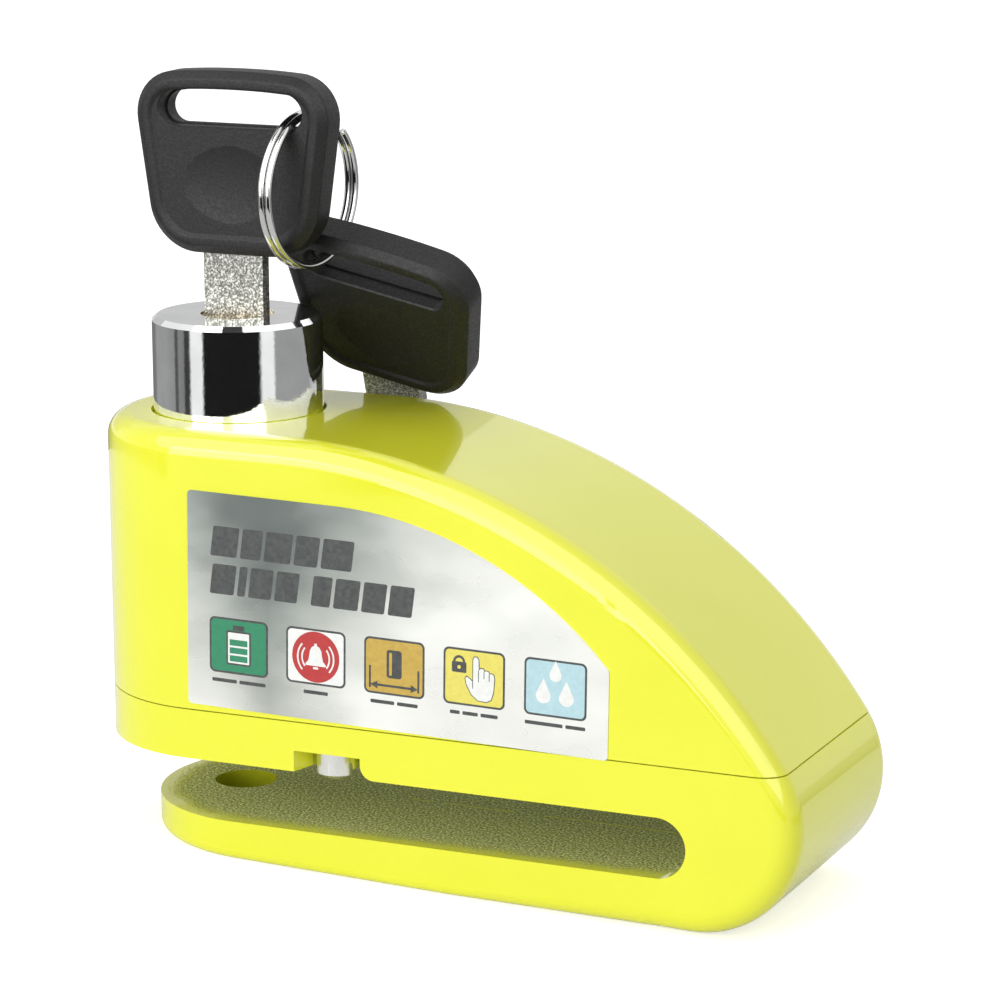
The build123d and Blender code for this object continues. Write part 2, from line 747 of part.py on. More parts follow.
def module_lid():
    """Clamp over the cells."""
    part = slab(tray_x0, tray_x1, -module_half_y, board_y - 0.1, tray_top_z, cell_axis_z + cell_r + 1)
    for x in cell_xs:
        part -= rod_y(cell_r + cell_fit, cell_y0 - contact_plate, board_y + 1, x, cell_axis_z)
    return part & cavity(0, 80, cover_wall + 0.3)


def button_cells():
    cells = []
    for x in cell_xs:
        for i in range(2):
            y = cell_y0 + i * cell_h
            cell = rod_y(cell_r, y + 0.01, y + cell_h - 0.01, x, cell_axis_z)
            cells.append(chamfer(cell.edges().filter_by(GeomType.CIRCLE), 0.4))
    return Compound(cells)


def battery_contacts():
    plates = []
    for x in cell_xs:
        plates.append(rod_y(contact_r, cell_y0 - contact_plate, cell_y0, x, cell_axis_z))
        plates.append(rod_y(spring_r, cell_y1, board_y, x, cell_axis_z))
    return Compound(plates)


def circuit_board():
    z0 = tray_z0 + tray_floor
    outline = Polyline(
        (tray_x0, z0), (tray_x1, z0), (tray_x1, board_shoulder_z - board_end_drop),
        (board_shoulder_x, board_shoulder_z),
        (siren_x + board_flat, board_top_z), (tray_x0, board_top_z), close=True,
    )
    return Pos(0, board_y + board_thick, 0) * extrude(Plane.XZ * make_face(outline), amount=board_thick)


chip_w, chip_d, chip_h = 6.0, 4.0, 1.6
chip_inset = 8.9           # chip's middle from the tray's end
chip_rise = 5.4            # chip's lower edge above the tray's floor
capacitor_r, capacitor_h = 2.0, 6.0
capacitor_rise = 12.4
coil_w, coil_d, coil_h = 4.0, 6.0, 5.0
coil_inset = 0.4           # coil's side from the tray's end
coil_rise = 1.0
sensor_r, sensor_h = 2.2, 8.0
sensor_inset = 9.4


def board_components():
    """Chip, capacitor and step-up coil on the siren's side of the board."""
    y = board_y + board_thick
    z0 = tray_z0 + tray_floor
    chip_x = tray_x1 - chip_inset
    chip_z = z0 + chip_rise
    chip = slab(chip_x - chip_w / 2, chip_x + chip_w / 2, y, y + chip_h, chip_z, chip_z + chip_d)
    capacitor = rod_y(capacitor_r, y, y + capacitor_h, chip_x - chip_w / 6, z0 + capacitor_rise)
    right = tray_x1 - coil_inset
    low = z0 + coil_rise
    transformer = slab(right - coil_w, right, y, y + coil_h, low, low + coil_d)
    return Compound([chip, capacitor, transformer])


def shock_sensor():
    y = board_y + board_thick
    return rod_y(sensor_r, y, y + sensor_h, tray_x1 - sensor_inset, tray_z0 + tray_floor + sensor_r)


shelf_h = 3.0              # ledge that the piezo disc sits on
disc_t = 0.3
ceramic_r = 6.4


def siren_housing():
    """Cup with its mouth against the cover's rear wall."""
    mouth_y = half - cover_wall - membrane_thick
    back_y = mouth_y - siren_depth
    part = rod_y(siren_r, back_y, mouth_y, siren_x, siren_z)
    part -= rod_y(siren_r - siren_wall, back_y + siren_wall, mouth_y + 1, siren_x, siren_z)
    shelf = rod_y(siren_r - siren_wall, back_y + siren_wall, back_y + shelf_h, siren_x, siren_z)
    return part + (shelf - rod_y(siren_r - 2 * siren_wall, 0, half, siren_x, siren_z))


def piezo_disc():
    y = half - cover_wall - membrane_thick - siren_depth + shelf_h
    disc = rod_y(siren_r - siren_wall - 0.05, y, y + disc_t, siren_x, siren_z)
    return disc + rod_y(ceramic_r, y + disc_t, y + 2 * disc_t, siren_x, siren_z)


def sound_membrane():
    """Waterproof skin between the siren's mouth and the sound holes."""
    y = half - cover_wall
    return rod_y(siren_r, y - membrane_thick, y, siren_x, siren_z)


def arming_contact():
    """Bronze leaf from the board to the barrel's side, through the tower's window."""
    return slab(
        barrel_r + contact_fit, tray_x0 + contact_lap, contact_y - contact_thick, contact_y,
        contact_z0, contact_z1,
    )


nodes = {
    "base_casting": base_casting(),
    "cover": cover(),
    "cover_gasket": cover_gasket(),
    "cover_screws": cover_screws(),
    "label_plate": label_plate(),
    "barrel": barrel(),
    "barrel_foot": barrel_foot(),
    "barrel_o_ring": barrel_o_ring(),
    "barrel_stop_pin": barrel_stop_pin(),
    "return_spring": return_spring(),
    "lock_pin": lock_pin(),
    "lock_pin_cross_pin": lock_pin_cross_pin(),
    "foot_cross_pin": foot_cross_pin(),
    "key_plug": key_plug(),
    "wafers": wafers(),
    "plug_clip": plug_clip(),
    "latch": latch(),
    "latch_spring": latch_spring(),
    "main_key_head": main_place * key_head(),
    "main_key_blade": main_place * key_blade(),
    "spare_key_head": spare_place * key_head(),
    "spare_key_blade": spare_place * key_blade(),
    "split_ring": split_ring(),
    "module_tray": module_tray(),
    "module_lid": module_lid(),
    "button_cells": button_cells(),
    "battery_contacts": battery_contacts(),
    "circuit_board": circuit_board(),
    "board_components": board_components(),
    "shock_sensor": shock_sensor(),
    "siren_housing": siren_housing(),
    "piezo_disc": piezo_disc(),
    "sound_membrane": sound_membrane(),
    "arming_contact": arming_contact(),
}

os.makedirs("parts", exist_ok=True)
for name, shape in nodes.items():
    export_step(shape, f"parts/{name}.step")
    print(name, round(shape.volume, 1))
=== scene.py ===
# %% [markdown]
# # A disc brake lock in its finishes
# The lock is a slotted metal body that slides over a motorcycle's brake disc. A barrel on top is
# pressed down to push a steel pin across the slot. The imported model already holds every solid
# piece at its real size, so this notebook gives the pieces their finishes, and models what the
# solids only stand in for: the moulded key heads, the double turn of the key ring and the print
# on the label.

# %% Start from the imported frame
from math import cos, pi, radians, sin, sqrt

import bmesh
import bpy
from mathutils import Matrix, Vector


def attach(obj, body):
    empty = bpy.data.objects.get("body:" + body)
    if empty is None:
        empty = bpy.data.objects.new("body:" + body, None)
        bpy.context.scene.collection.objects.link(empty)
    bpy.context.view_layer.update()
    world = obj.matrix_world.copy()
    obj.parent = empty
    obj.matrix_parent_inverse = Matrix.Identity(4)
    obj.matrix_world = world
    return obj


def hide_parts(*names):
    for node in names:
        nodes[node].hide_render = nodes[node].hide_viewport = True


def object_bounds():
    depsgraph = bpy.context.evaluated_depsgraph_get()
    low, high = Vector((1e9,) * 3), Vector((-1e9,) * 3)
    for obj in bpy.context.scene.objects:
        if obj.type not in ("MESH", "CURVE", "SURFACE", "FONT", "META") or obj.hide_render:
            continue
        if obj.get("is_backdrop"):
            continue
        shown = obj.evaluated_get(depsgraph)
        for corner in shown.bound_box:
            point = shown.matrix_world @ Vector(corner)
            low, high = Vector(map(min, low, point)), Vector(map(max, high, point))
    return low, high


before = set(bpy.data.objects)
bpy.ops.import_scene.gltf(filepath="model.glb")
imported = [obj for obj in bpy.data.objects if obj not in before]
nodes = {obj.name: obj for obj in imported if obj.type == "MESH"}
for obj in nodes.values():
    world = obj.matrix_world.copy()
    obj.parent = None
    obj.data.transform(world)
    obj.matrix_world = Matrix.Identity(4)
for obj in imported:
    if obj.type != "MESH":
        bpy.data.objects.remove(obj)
cad_box = [list(corner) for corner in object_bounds()]
MM = 0.001
print("nodes loaded:", len(nodes))

# %% [markdown]
# ## Camera
# A long lens from the front right, a little above the lock, keeps the slot and the barrel nearly
# square. The camera is turned by the two angles that are set on a tripod's head, and by a very
# small roll.

# %% Camera
CAMERA_PLACE = Vector((210.489, -393.861, 134.263)) * MM
CAMERA_AZIMUTH = radians(24.14)
CAMERA_ELEVATION = radians(12.63)
CAMERA_ROLL = -0.0043
LENS = 137.45
SENSOR = 36
NEAREST, FARTHEST = 0.01, 20


def add_camera():
    """Camera at its place, looking down along its two angles."""
    a, e = CAMERA_AZIMUTH, CAMERA_ELEVATION
    forward = Vector((-sin(a) * cos(e), cos(a) * cos(e), -sin(e)))
    right = Vector((cos(a), sin(a), 0))
    up = right.cross(forward)
    rolled_right = right * cos(CAMERA_ROLL) + up * sin(CAMERA_ROLL)
    rolled_up = up * cos(CAMERA_ROLL) - right * sin(CAMERA_ROLL)
    axes = Matrix((rolled_right, rolled_up, -forward)).transposed()
    data = bpy.data.cameras.new("camera")
    data.lens = LENS
    data.sensor_width = SENSOR
    data.clip_start, data.clip_end = NEAREST, FARTHEST
    camera = bpy.data.objects.new("camera", data)
    bpy.context.scene.collection.objects.link(camera)
    camera.matrix_world = Matrix.Translation(CAMERA_PLACE) @ axes.to_4x4()
    bpy.context.scene.camera = camera
    return camera


camera = add_camera()
print("lens", camera.data.lens, "mm")

# %% [markdown]
# ## Small helpers for modelling by hand
# Each new piece starts as a primitive. Operators act on whatever is selected, so everything is
# deselected first, and faces, edges or corners are then picked in code by where they are.

# %% Helpers that start a piece and pick its parts


def start(kind, name, **where):
    """Adds a primitive, the only thing selected, and names it."""
    bpy.ops.object.select_all(action="DESELECT")
    getattr(bpy.ops.mesh, f"primitive_{kind}_add")(**where)
    piece = bpy.context.object
    piece.name = name
    piece.data.name = name
    return piece


def edit():
    bpy.ops.object.mode_set(mode="EDIT")


def leave():
    bpy.ops.object.mode_set(mode="OBJECT")


def pick(piece, mode, test):
    """Selects, in edit mode, the corners, edges or faces that pass a test.

    The test gets a corner's place and normal, an edge's middle and direction, or a face's middle
    and normal.
    """
    bpy.ops.mesh.select_mode(type=mode)
    bpy.ops.mesh.select_all(action="DESELECT")
    form = bmesh.from_edit_mesh(piece.data)
    if mode == "VERT":
        for v in form.verts:
            v.select_set(test(v.co, v.normal))
    elif mode == "EDGE":
        for e in form.edges:
            middle = (e.verts[0].co + e.verts[1].co) / 2
            e.select_set(test(middle, e.verts[1].co - e.verts[0].co))
    else:
        for f in form.faces:
            f.select_set(test(f.calc_center_median(), f.normal))
    form.select_flush_mode()
    bmesh.update_edit_mesh(piece.data)


def only(piece):
    """Makes the piece the one that is selected and active."""
    bpy.ops.object.select_all(action="DESELECT")
    piece.select_set(True)
    bpy.context.view_layer.objects.active = piece


print("helpers that start and pick are ready")

# %% [markdown]
# The same few steps end almost every piece: its place goes into its mesh, modifiers are applied,
# doubles are merged, faces are turned outwards, and flat and round faces are shaded apart.

# %% Helpers that finish a piece
MERGE_WITHIN = 0.0001 * MM


def settle(piece):
    """Puts the piece's place, turn and scale into its mesh."""
    only(piece)
    bpy.ops.object.transform_apply(location=True, rotation=True, scale=True)


def modify(piece, kind, **settings):
    """Adds a modifier and applies it."""
    bpy.context.view_layer.objects.active = piece
    modifier = piece.modifiers.new(kind.lower(), kind)
    for key, value in settings.items():
        setattr(modifier, key, value)
    bpy.ops.object.modifier_apply(modifier=modifier.name)


def turn_faces_out():
    """In edit mode, turns all of a closed shape's faces outwards."""
    bpy.ops.mesh.select_all(action="SELECT")
    bpy.ops.mesh.normals_make_consistent(inside=False)


def outward(piece):
    """Merges doubles and turns every face outwards."""
    bpy.context.view_layer.objects.active = piece
    edit()
    bpy.ops.mesh.select_all(action="SELECT")
    bpy.ops.mesh.remove_doubles(threshold=MERGE_WITHIN)
    turn_faces_out()
    leave()


def smooth(piece, angle):
    """Smooth shading, with edges kept sharp past an angle in degrees."""
    only(piece)
    bpy.ops.object.shade_smooth_by_angle(angle=radians(angle))


def coat(piece, material):
    """Gives the piece one material."""
    piece.data.materials.clear()
    piece.data.materials.append(material)


def join(pieces, name):
    """Joins pieces into one object."""
    bpy.ops.object.select_all(action="DESELECT")
    for piece in pieces:
        piece.select_set(True)
    bpy.context.view_layer.objects.active = pieces[0]
    bpy.ops.object.join()
    piece = bpy.context.object
    piece.name = name
    piece.data.name = name
    return piece


print("helpers that finish are ready; doubles merge within", MERGE_WITHIN / MM, "mm")

# %% [markdown]
# ## Finishes
# Every finish is a node material that reads Object coordinates, so its grain has a real size in
# metres and stays on the piece when it moves. A helper object wires noise into bump or colour,
# and each finish below adds its own.

# %% Material helpers
MIX_A, MIX_B, MIX_RESULT = 6, 7, 2  # where a Mix node keeps its colour sockets


def grey(value):
    return (value, value, value)


class Wiring:
    """A node tree being wired. Each method adds a node and returns the output to wire on."""

    def __init__(self, tree):
        self.nodes = tree.nodes
        self.link = tree.links.new

    def place(self):
        """Object coordinates, as x, y and z in metres."""
        place = self.nodes.new("ShaderNodeTexCoord")
        split = self.nodes.new("ShaderNodeSeparateXYZ")
        self.link(place.outputs["Object"], split.inputs[0])
        return tuple(split.outputs)

    def noise(self, scale, detail, roughness=0.5, stretch=(1, 1, 1)):
        """Noise in object space. scale is in cycles per metre."""
        place = self.nodes.new("ShaderNodeTexCoord")
        turn = self.nodes.new("ShaderNodeMapping")
        turn.inputs["Scale"].default_value = stretch
        self.link(place.outputs["Object"], turn.inputs["Vector"])
        texture = self.nodes.new("ShaderNodeTexNoise")
        texture.inputs["Scale"].default_value = scale
        texture.inputs["Detail"].default_value = detail
        texture.inputs["Roughness"].default_value = roughness
        self.link(turn.outputs["Vector"], texture.inputs["Vector"])
        return texture.outputs["Fac"]

    def ramp(self, factor, *stops):
        """Colour ramp over a factor. stops are (place, colour)."""
        node = self.nodes.new("ShaderNodeValToRGB")
        band = node.color_ramp
        while len(band.elements) < len(stops):
            band.elements.new(0.5)
        for element, (place, colour) in zip(band.elements, stops):
            element.position = place
            element.color = (*colour, 1)
        self.link(factor, node.inputs["Fac"])
        return node.outputs["Color"]

    def bump(self, height, distance, strength, after=None):
        """Bump from a height, optionally on top of another bump. distance is in metres."""
        node = self.nodes.new("ShaderNodeBump")
        node.inputs["Strength"].default_value = strength
        node.inputs["Distance"].default_value = distance
        self.link(height, node.inputs["Height"])
        if after:
            self.link(after, node.inputs["Normal"])
        return node.outputs["Normal"]

    def math(self, operation, *values, clamp=False):
        """Math node over one or two values, each an output or a number."""
        node = self.nodes.new("ShaderNodeMath")
        node.operation = operation
        node.use_clamp = clamp
        for socket, value in zip(node.inputs, values):
            if isinstance(value, (int, float)):
                socket.default_value = value
            else:
                self.link(value, socket)
        return node.outputs[0]

    def add(self, a, b):
        return self.math("ADD", a, b)

    def subtract(self, a, b):
        return self.math("SUBTRACT", a, b)

    def times(self, a, b):
        return self.math("MULTIPLY", a, b)

    def over(self, a, b):
        """1 where a is more than b."""
        return self.math("GREATER_THAN", a, b)

    def under(self, a, b):
        """1 where a is less than b."""
        return self.math("LESS_THAN", a, b)

    def mix(self, factor, a, b):
        """Mixes two colours, each an output or a plain colour."""
        node = self.nodes.new("ShaderNodeMix")
        node.data_type = "RGBA"
        self.link(factor, node.inputs["Factor"])
        for socket, value in ((node.inputs[MIX_A], a), (node.inputs[MIX_B], b)):
            if isinstance(value, tuple):
                socket.default_value = (*value, 1)
            else:
                self.link(value, socket)
        return node.outputs[MIX_RESULT]


def new_material(name):
    """Material with a Principled shader: returns the material, its wiring and the shader."""
    material = bpy.data.materials.new(name)
    material.use_nodes = True
    tree = material.node_tree
    return material, Wiring(tree), tree.nodes["Principled BSDF"]


print("material helpers ready")

# %% [markdown]
# ### Yellow paint over a raw casting
# The body is a zinc casting with thick glossy powder paint. Spray hardly reaches into the slot,
# so the paint thins there within a few millimetres of the edge and shows a gritty grey-green
# casting. The mask is worked out from the distance to the body's outline, plus noise, only inside
# the slot's height.

# %% Where the paint is missing
BODY_HALF = 16.2 * MM
JAW_ROUND_X = 6.7 * MM  # the outline's round end has its middle here
SLOT_TOP = 7.1 * MM
SLOT_END = 63.5 * MM
WHOLE_PAINT = 0.9 * MM  # the paint is whole this far in from the outline
THINNING = 3.4 * MM  # and takes this long to run out
EDGE_WANDER = 2.6 * MM
EDGE_SPECK = 5.0 * MM
CLEARANCE = 0.02 * MM
OUTER_SKIN = 0.12 * MM


def slot_mask(w):
    """Returns where the casting is bare, where the slot is, and the object coordinates."""
    x, y, z = w.place()
    past_round = w.math("MINIMUM", w.subtract(x, JAW_ROUND_X), 0.0)
    square = w.add(w.math("POWER", past_round, 2.0), w.math("POWER", y, 2.0))
    inward = w.subtract(BODY_HALF, w.math("SQRT", square))
    wander = w.times(w.subtract(w.noise(130, 4), 0.5), EDGE_WANDER)
    speck = w.times(w.subtract(w.noise(2600, 2), 0.5), EDGE_SPECK)
    depth = w.subtract(w.add(inward, w.add(wander, speck)), WHOLE_PAINT)
    thinned = w.math("DIVIDE", depth, THINNING, clamp=True)
    level = w.times(w.over(z, -CLEARANCE), w.under(z, SLOT_TOP + CLEARANCE))
    within = w.times(w.under(x, SLOT_END + CLEARANCE), w.over(inward, OUTER_SKIN))
    in_slot = w.times(level, within)
    return w.times(thinned, in_slot), in_slot, (x, y, z)


print("paint thins from", WHOLE_PAINT / MM, "to", (WHOLE_PAINT + THINNING) / MM, "mm inwards")

# %% [markdown]
# A fine rough seam runs along the slot's middle where the casting's tool halves met. Inside the
# hole for the lock pin the paint is darkened as painted shade. Outside the slot a clear coat gives
# the gloss, and a faint broad bump is the peel of powder paint.

# %% Paint
PAINT = (0.800, 0.812, 0.034)
PAINT_DEEP = (0.775, 0.790, 0.030)
PAINT_PALE = (0.815, 0.825, 0.038)
THIN_PAINT = (0.46, 0.48, 0.03)
RAW_CASTING = (0.46, 0.49, 0.17)
RAW_DARK = (0.17, 0.185, 0.055)
RAW_BRIGHT = (0.92, 0.96, 0.44)
SEAM_PAINT = (0.80, 0.84, 0.08)
# painted shade for the inside of the lock pin's hole
HOLE_PAINTED_SHADE = (0.42, 0.44, 0.015)
SEAM_Y = 0.3 * MM
SEAM_HALF = 0.11 * MM
SEAM_FROM = 22 * MM
HOLE_RADIUS = 4.0 * MM
HOLE_TOP = -0.05 * MM


def broken_seam(w, x, y, in_slot):
    """1 on the seam's thin line, which comes and goes along the slot."""
    line = w.under(w.math("ABSOLUTE", w.subtract(y, SEAM_Y)), SEAM_HALF)
    broken = w.over(w.noise(700, 2, 0.5, (0.25, 1, 1)), 0.44)
    return w.times(w.times(line, broken), w.times(w.over(x, SEAM_FROM), in_slot))


def pin_hole(w, x, y, z):
    """1 inside the hole for the lock pin."""
    square = w.add(w.math("POWER", x, 2.0), w.math("POWER", y, 2.0))
    return w.times(w.under(w.math("SQRT", square), HOLE_RADIUS), w.under(z, HOLE_TOP))


def yellow_paint():
    material, w, shader = new_material("yellow paint")
    mask, in_slot, (x, y, z) = slot_mask(w)
    cloud = w.ramp(w.noise(45, 2), (0.3, PAINT_DEEP), (0.7, PAINT_PALE))
    grain = w.ramp(w.noise(3300, 3, 0.6), (0.38, RAW_DARK), (0.5, RAW_CASTING), (0.62, RAW_BRIGHT))
    raw = w.mix(broken_seam(w, x, y, in_slot), grain, SEAM_PAINT)
    thin = w.ramp(mask, (0.0, PAINT), (0.45, THIN_PAINT), (1.0, RAW_CASTING))
    blend = w.mix(w.ramp(mask, (0.1, grey(0)), (0.8, grey(1))), thin, raw)
    skin = w.mix(w.over(mask, 0.002), cloud, blend)
    # inside the pin hole the colour is painted shade
    w.link(w.mix(pin_hole(w, x, y, z), skin, HOLE_PAINTED_SHADE), shader.inputs["Base Color"])
    w.link(w.ramp(mask, (0.0, grey(0.24)), (0.5, grey(0.62))), shader.inputs["Roughness"])
    w.link(w.ramp(mask, (0.0, grey(1.0)), (0.35, grey(0.0))), shader.inputs["Coat Weight"])
    shader.inputs["Specular IOR Level"].default_value = 0.15
    shader.inputs["Coat Roughness"].default_value = 0.045
    shader.inputs["Coat IOR"].default_value = 1.5
    peel = w.bump(w.noise(320, 2), 0.03 * MM, 0.16)
    grit = w.times(w.noise(2600, 4, 0.65), mask)
    w.link(w.bump(grit, 0.16 * MM, 1.0, peel), shader.inputs["Normal"])
    return material


paint = yellow_paint()
print("paint", PAINT, "with", len(paint.node_tree.nodes), "nodes")

# %% [markdown]
# ### Metals
# The barrel is turned, polished and chromed, and its plating is not quite flat: a faint ripple
# makes the reflections' edges break up. The key blades are bead blasted, with a fine bump for
# their facets and bright spots painted into their colour as glints of a coarse sparkle. The inner
# pieces get plainer turned, drawn and brass finishes.

# %% Metals
TONE_DRIFT = 0.06
BLAST_DARK = (0.09, 0.09, 0.08)
BLAST_MIDDLE = (0.20, 0.20, 0.18)
BLAST_PAINTED_GLINT = (0.56, 0.56, 0.52)


def metal(name, colour, rough, ripple_scale, ripple_depth, stretch=(1, 1, 1)):
    """Metal with a colour and a roughness that drift a little, and a fine ripple."""
    material, w, shader = new_material(name)
    shader.inputs["Metallic"].default_value = 1.0
    dark = tuple(c * (1 - TONE_DRIFT) for c in colour)
    bright = tuple(min(1, c * (1 + TONE_DRIFT)) for c in colour)
    w.link(w.ramp(w.noise(260, 3), (0.3, dark), (0.7, bright)), shader.inputs["Base Color"])
    fine = w.noise(900, 3, 0.55, stretch)
    rougher = w.ramp(fine, (0.3, grey(rough * 0.75)), (0.7, grey(rough * 1.3)))
    w.link(rougher, shader.inputs["Roughness"])
    ripple = w.noise(ripple_scale, 2, 0.5, stretch)
    w.link(w.bump(ripple, ripple_depth, 0.6), shader.inputs["Normal"])
    return material


def blasted_nickel():
    """Key blade: tiny facets in a darker ground, with painted glints as bright spots in its
    colour.
    """
    material, w, shader = new_material("blasted nickel")
    facets = w.noise(4200, 2, 0.6)
    # the bright stop paints glints of the facets into the blade's colour
    tone = w.ramp(facets, (0.34, BLAST_DARK), (0.5, BLAST_MIDDLE), (0.66, BLAST_PAINTED_GLINT))
    w.link(tone, shader.inputs["Base Color"])
    shader.inputs["Metallic"].default_value = 1.0
    shader.inputs["Roughness"].default_value = 0.5
    w.link(w.bump(facets, 0.05 * MM, 0.6), shader.inputs["Normal"])
    return material


chrome = metal("barrel chrome", (0.83, 0.84, 0.84), 0.05, 1800, 0.010 * MM)
ring_nickel = metal("ring nickel", (0.56, 0.56, 0.55), 0.10, 900, 0.003 * MM)
screw_zinc = metal("screw zinc", (0.74, 0.74, 0.73), 0.24, 2600, 0.010 * MM, (1, 1, 0.15))
ground_steel = metal("ground steel", (0.42, 0.42, 0.42), 0.20, 2400, 0.006 * MM, (1, 1, 4))
turned_steel = metal("turned steel", (0.52, 0.52, 0.53), 0.30, 1800, 0.010 * MM, (1, 1, 6))
spring_wire = metal("spring wire", (0.40, 0.40, 0.41), 0.28, 2200, 0.006 * MM)
machined_brass = metal("machined brass", (0.78, 0.58, 0.27), 0.25, 1700, 0.010 * MM, (1, 1, 5))
bronze_sheet = metal("bronze sheet", (0.74, 0.50, 0.28), 0.30, 1300, 0.006 * MM)
cell_steel = metal("cell nickel", (0.80, 0.80, 0.79), 0.16, 900, 0.003 * MM)
nickel_blade = blasted_nickel()
print("materials after the metals:", len(bpy.data.materials))

# %% [markdown]
# ### Plastics, rubber and board
# The key heads are black nylon from a spark-eroded mould, so they have a fine even grain with a
# soft sheen. The alarm's tray, siren and lid are smoother mouldings, the gasket and the O-ring
# matt rubber.

# %% Plastics


def moulded(name, colour, rough, grain_scale, grain_depth, lift=1.5, specular=0.5):
    """Moulded plastic or rubber with an even grain and slightly paler high spots."""
    material, w, shader = new_material(name)
    grain = w.noise(grain_scale, 3, 0.6)
    pale = tuple(min(1, c * lift + 0.002) for c in colour)
    w.link(w.ramp(grain, (0.42, colour), (0.66, pale)), shader.inputs["Base Color"])
    sheen = w.ramp(grain, (0.35, grey(rough * 1.12)), (0.65, grey(rough * 0.85)))
    w.link(sheen, shader.inputs["Roughness"])
    shader.inputs["Specular IOR Level"].default_value = specular
    w.link(w.bump(grain, grain_depth, 0.9), shader.inputs["Normal"])
    return material


key_nylon = moulded("key nylon", (0.006, 0.006, 0.006), 0.50, 3300, 0.030 * MM, 1.9, 0.26)
black_rubber = moulded("black rubber", (0.014, 0.014, 0.014), 0.72, 1500, 0.02 * MM)
tray_plastic = moulded("tray plastic", (0.030, 0.030, 0.033), 0.45, 1700, 0.012 * MM)
white_plastic = moulded("white plastic", (0.78, 0.78, 0.75), 0.38, 1200, 0.008 * MM, 1.03)
board_mask = moulded("solder mask", (0.010, 0.115, 0.040), 0.28, 700, 0.008 * MM)
chip_black = moulded("component black", (0.020, 0.020, 0.021), 0.42, 2000, 0.010 * MM)
print("materials after the plastics:", len(bpy.data.materials))

# %% [markdown]
# ### Label film and inks
# The label is a silver film printed with flat inks. Its colour carries a painted reflection: it is
# darkest near its top left and paler away from there, and broad noise moves that tone as cloudy
# painted reflections and also moves its roughness. Film isn't quite flat on the paint, and a fine
# noise gives the film's dimples.

# %% Label film and inks
# The film's colour is a painted reflection: its tone grows with distance from a dark place near
# the label's top left.
FILM_REFLECTION_DARK_X = 12 * MM
FILM_ALONG = 30.0  # tone gained per metre to either side of the dark place
FILM_DOWN = -22.0  # and per metre upwards
FILM_START = 0.86
FILM_CLOUDS = 0.4
FILM_REFLECTION_TONES = (
    (0.0, (0.120, 0.138, 0.131)), (0.18, (0.145, 0.166, 0.157)), (0.36, (0.30, 0.325, 0.305)),
    (0.62, (0.58, 0.60, 0.565)), (0.92, (0.79, 0.80, 0.765)),
)


def silver_film():
    material, w, shader = new_material("silver film")
    clouds = w.noise(95, 3, 0.5, (0.7, 1, 1.3))
    x, _, z = w.place()
    # painted reflection: tone rising away from the dark place and downwards, plus cloudy noise
    along = w.times(w.math("ABSOLUTE", w.subtract(x, FILM_REFLECTION_DARK_X)), FILM_ALONG)
    painted_reflection = w.add(w.add(along, w.times(z, FILM_DOWN)), FILM_START)
    tone = w.add(painted_reflection, w.times(w.subtract(clouds, 0.5), FILM_CLOUDS))
    w.link(w.ramp(tone, *FILM_REFLECTION_TONES), shader.inputs["Base Color"])
    shader.inputs["Metallic"].default_value = 0.6
    w.link(w.ramp(clouds, (0.3, grey(0.22)), (0.7, grey(0.36))), shader.inputs["Roughness"])
    wavy = w.bump(w.noise(120, 2), 0.05 * MM, 0.35)
    w.link(w.bump(w.noise(1500, 2), 0.004 * MM, 0.5, wavy), shader.inputs["Normal"])
    return material


def ink(name, colour, rough=0.42, spread=0.04):
    """Printed ink with the slight mottle of the film under it."""
    material, w, shader = new_material(name)
    mottle = w.noise(1800, 3, 0.6)
    dark = tuple(c * (1 - spread) for c in colour)
    pale = tuple(min(1, c * (1 + spread) + 0.004) for c in colour)
    w.link(w.ramp(mottle, (0.35, dark), (0.65, pale)), shader.inputs["Base Color"])
    shader.inputs["Roughness"].default_value = rough
    w.link(w.bump(mottle, 0.004 * MM, 0.5), shader.inputs["Normal"])
    return material


film = silver_film()
ink_dark = ink("dark ink", (0.040, 0.044, 0.044), 0.5, 0.3)
ink_green = ink("green ink", (0.010, 0.215, 0.100))
ink_red = ink("red ink", (0.44, 0.018, 0.018))
ink_gold = ink("gold ink", (0.52, 0.35, 0.055), 0.38, 0.07)
ink_yellow = ink("yellow ink", (0.72, 0.64, 0.11))
ink_blue = ink("pale blue ink", (0.42, 0.62, 0.68))
ink_white = ink("white ink", (0.78, 0.79, 0.77))
print("materials after the inks:", len(bpy.data.materials))

# %% [markdown]
# ### Put the finishes on the solids
# Each solid's name says what it is, so a table from names to finishes is enough. The solids keep
# their own meshes, and only their material changes.

# %% Finishes on the solids
FINISH = {
    "base_casting": paint, "cover": paint, "cover_gasket": black_rubber,
    "cover_screws": screw_zinc, "label_plate": film, "barrel": chrome,
    "barrel_foot": turned_steel, "barrel_o_ring": black_rubber, "barrel_stop_pin": ground_steel,
    "return_spring": spring_wire, "lock_pin": ground_steel, "lock_pin_cross_pin": ground_steel,
    "foot_cross_pin": ground_steel, "key_plug": machined_brass, "wafers": machined_brass,
    "plug_clip": spring_wire, "latch": ground_steel, "latch_spring": spring_wire,
    "main_key_head": key_nylon, "main_key_blade": nickel_blade, "spare_key_head": key_nylon,
    "spare_key_blade": nickel_blade, "split_ring": ring_nickel, "module_tray": tray_plastic,
    "module_lid": tray_plastic, "button_cells": cell_steel, "battery_contacts": bronze_sheet,
    "circuit_board": board_mask, "board_components": chip_black, "shock_sensor": chip_black,
    "siren_housing": white_plastic, "piezo_disc": machined_brass,
    "sound_membrane": white_plastic, "arming_contact": bronze_sheet,
}
for name, node in nodes.items():
    coat(node, FINISH[name])
print("finished solids:", len(nodes))

# %% [markdown]
# ## Key heads
# Each head is one moulding: a tapered outline with big round corners and a slightly arched top, a
# bevelled rim, a flat raised band, and a shallow dished panel with a long slot above it for the
# ring. It is modelled flat, from one plane: corners are bevelled round, the face is extruded
# through its thickness, and insets on both sides make the rim, band and dish.

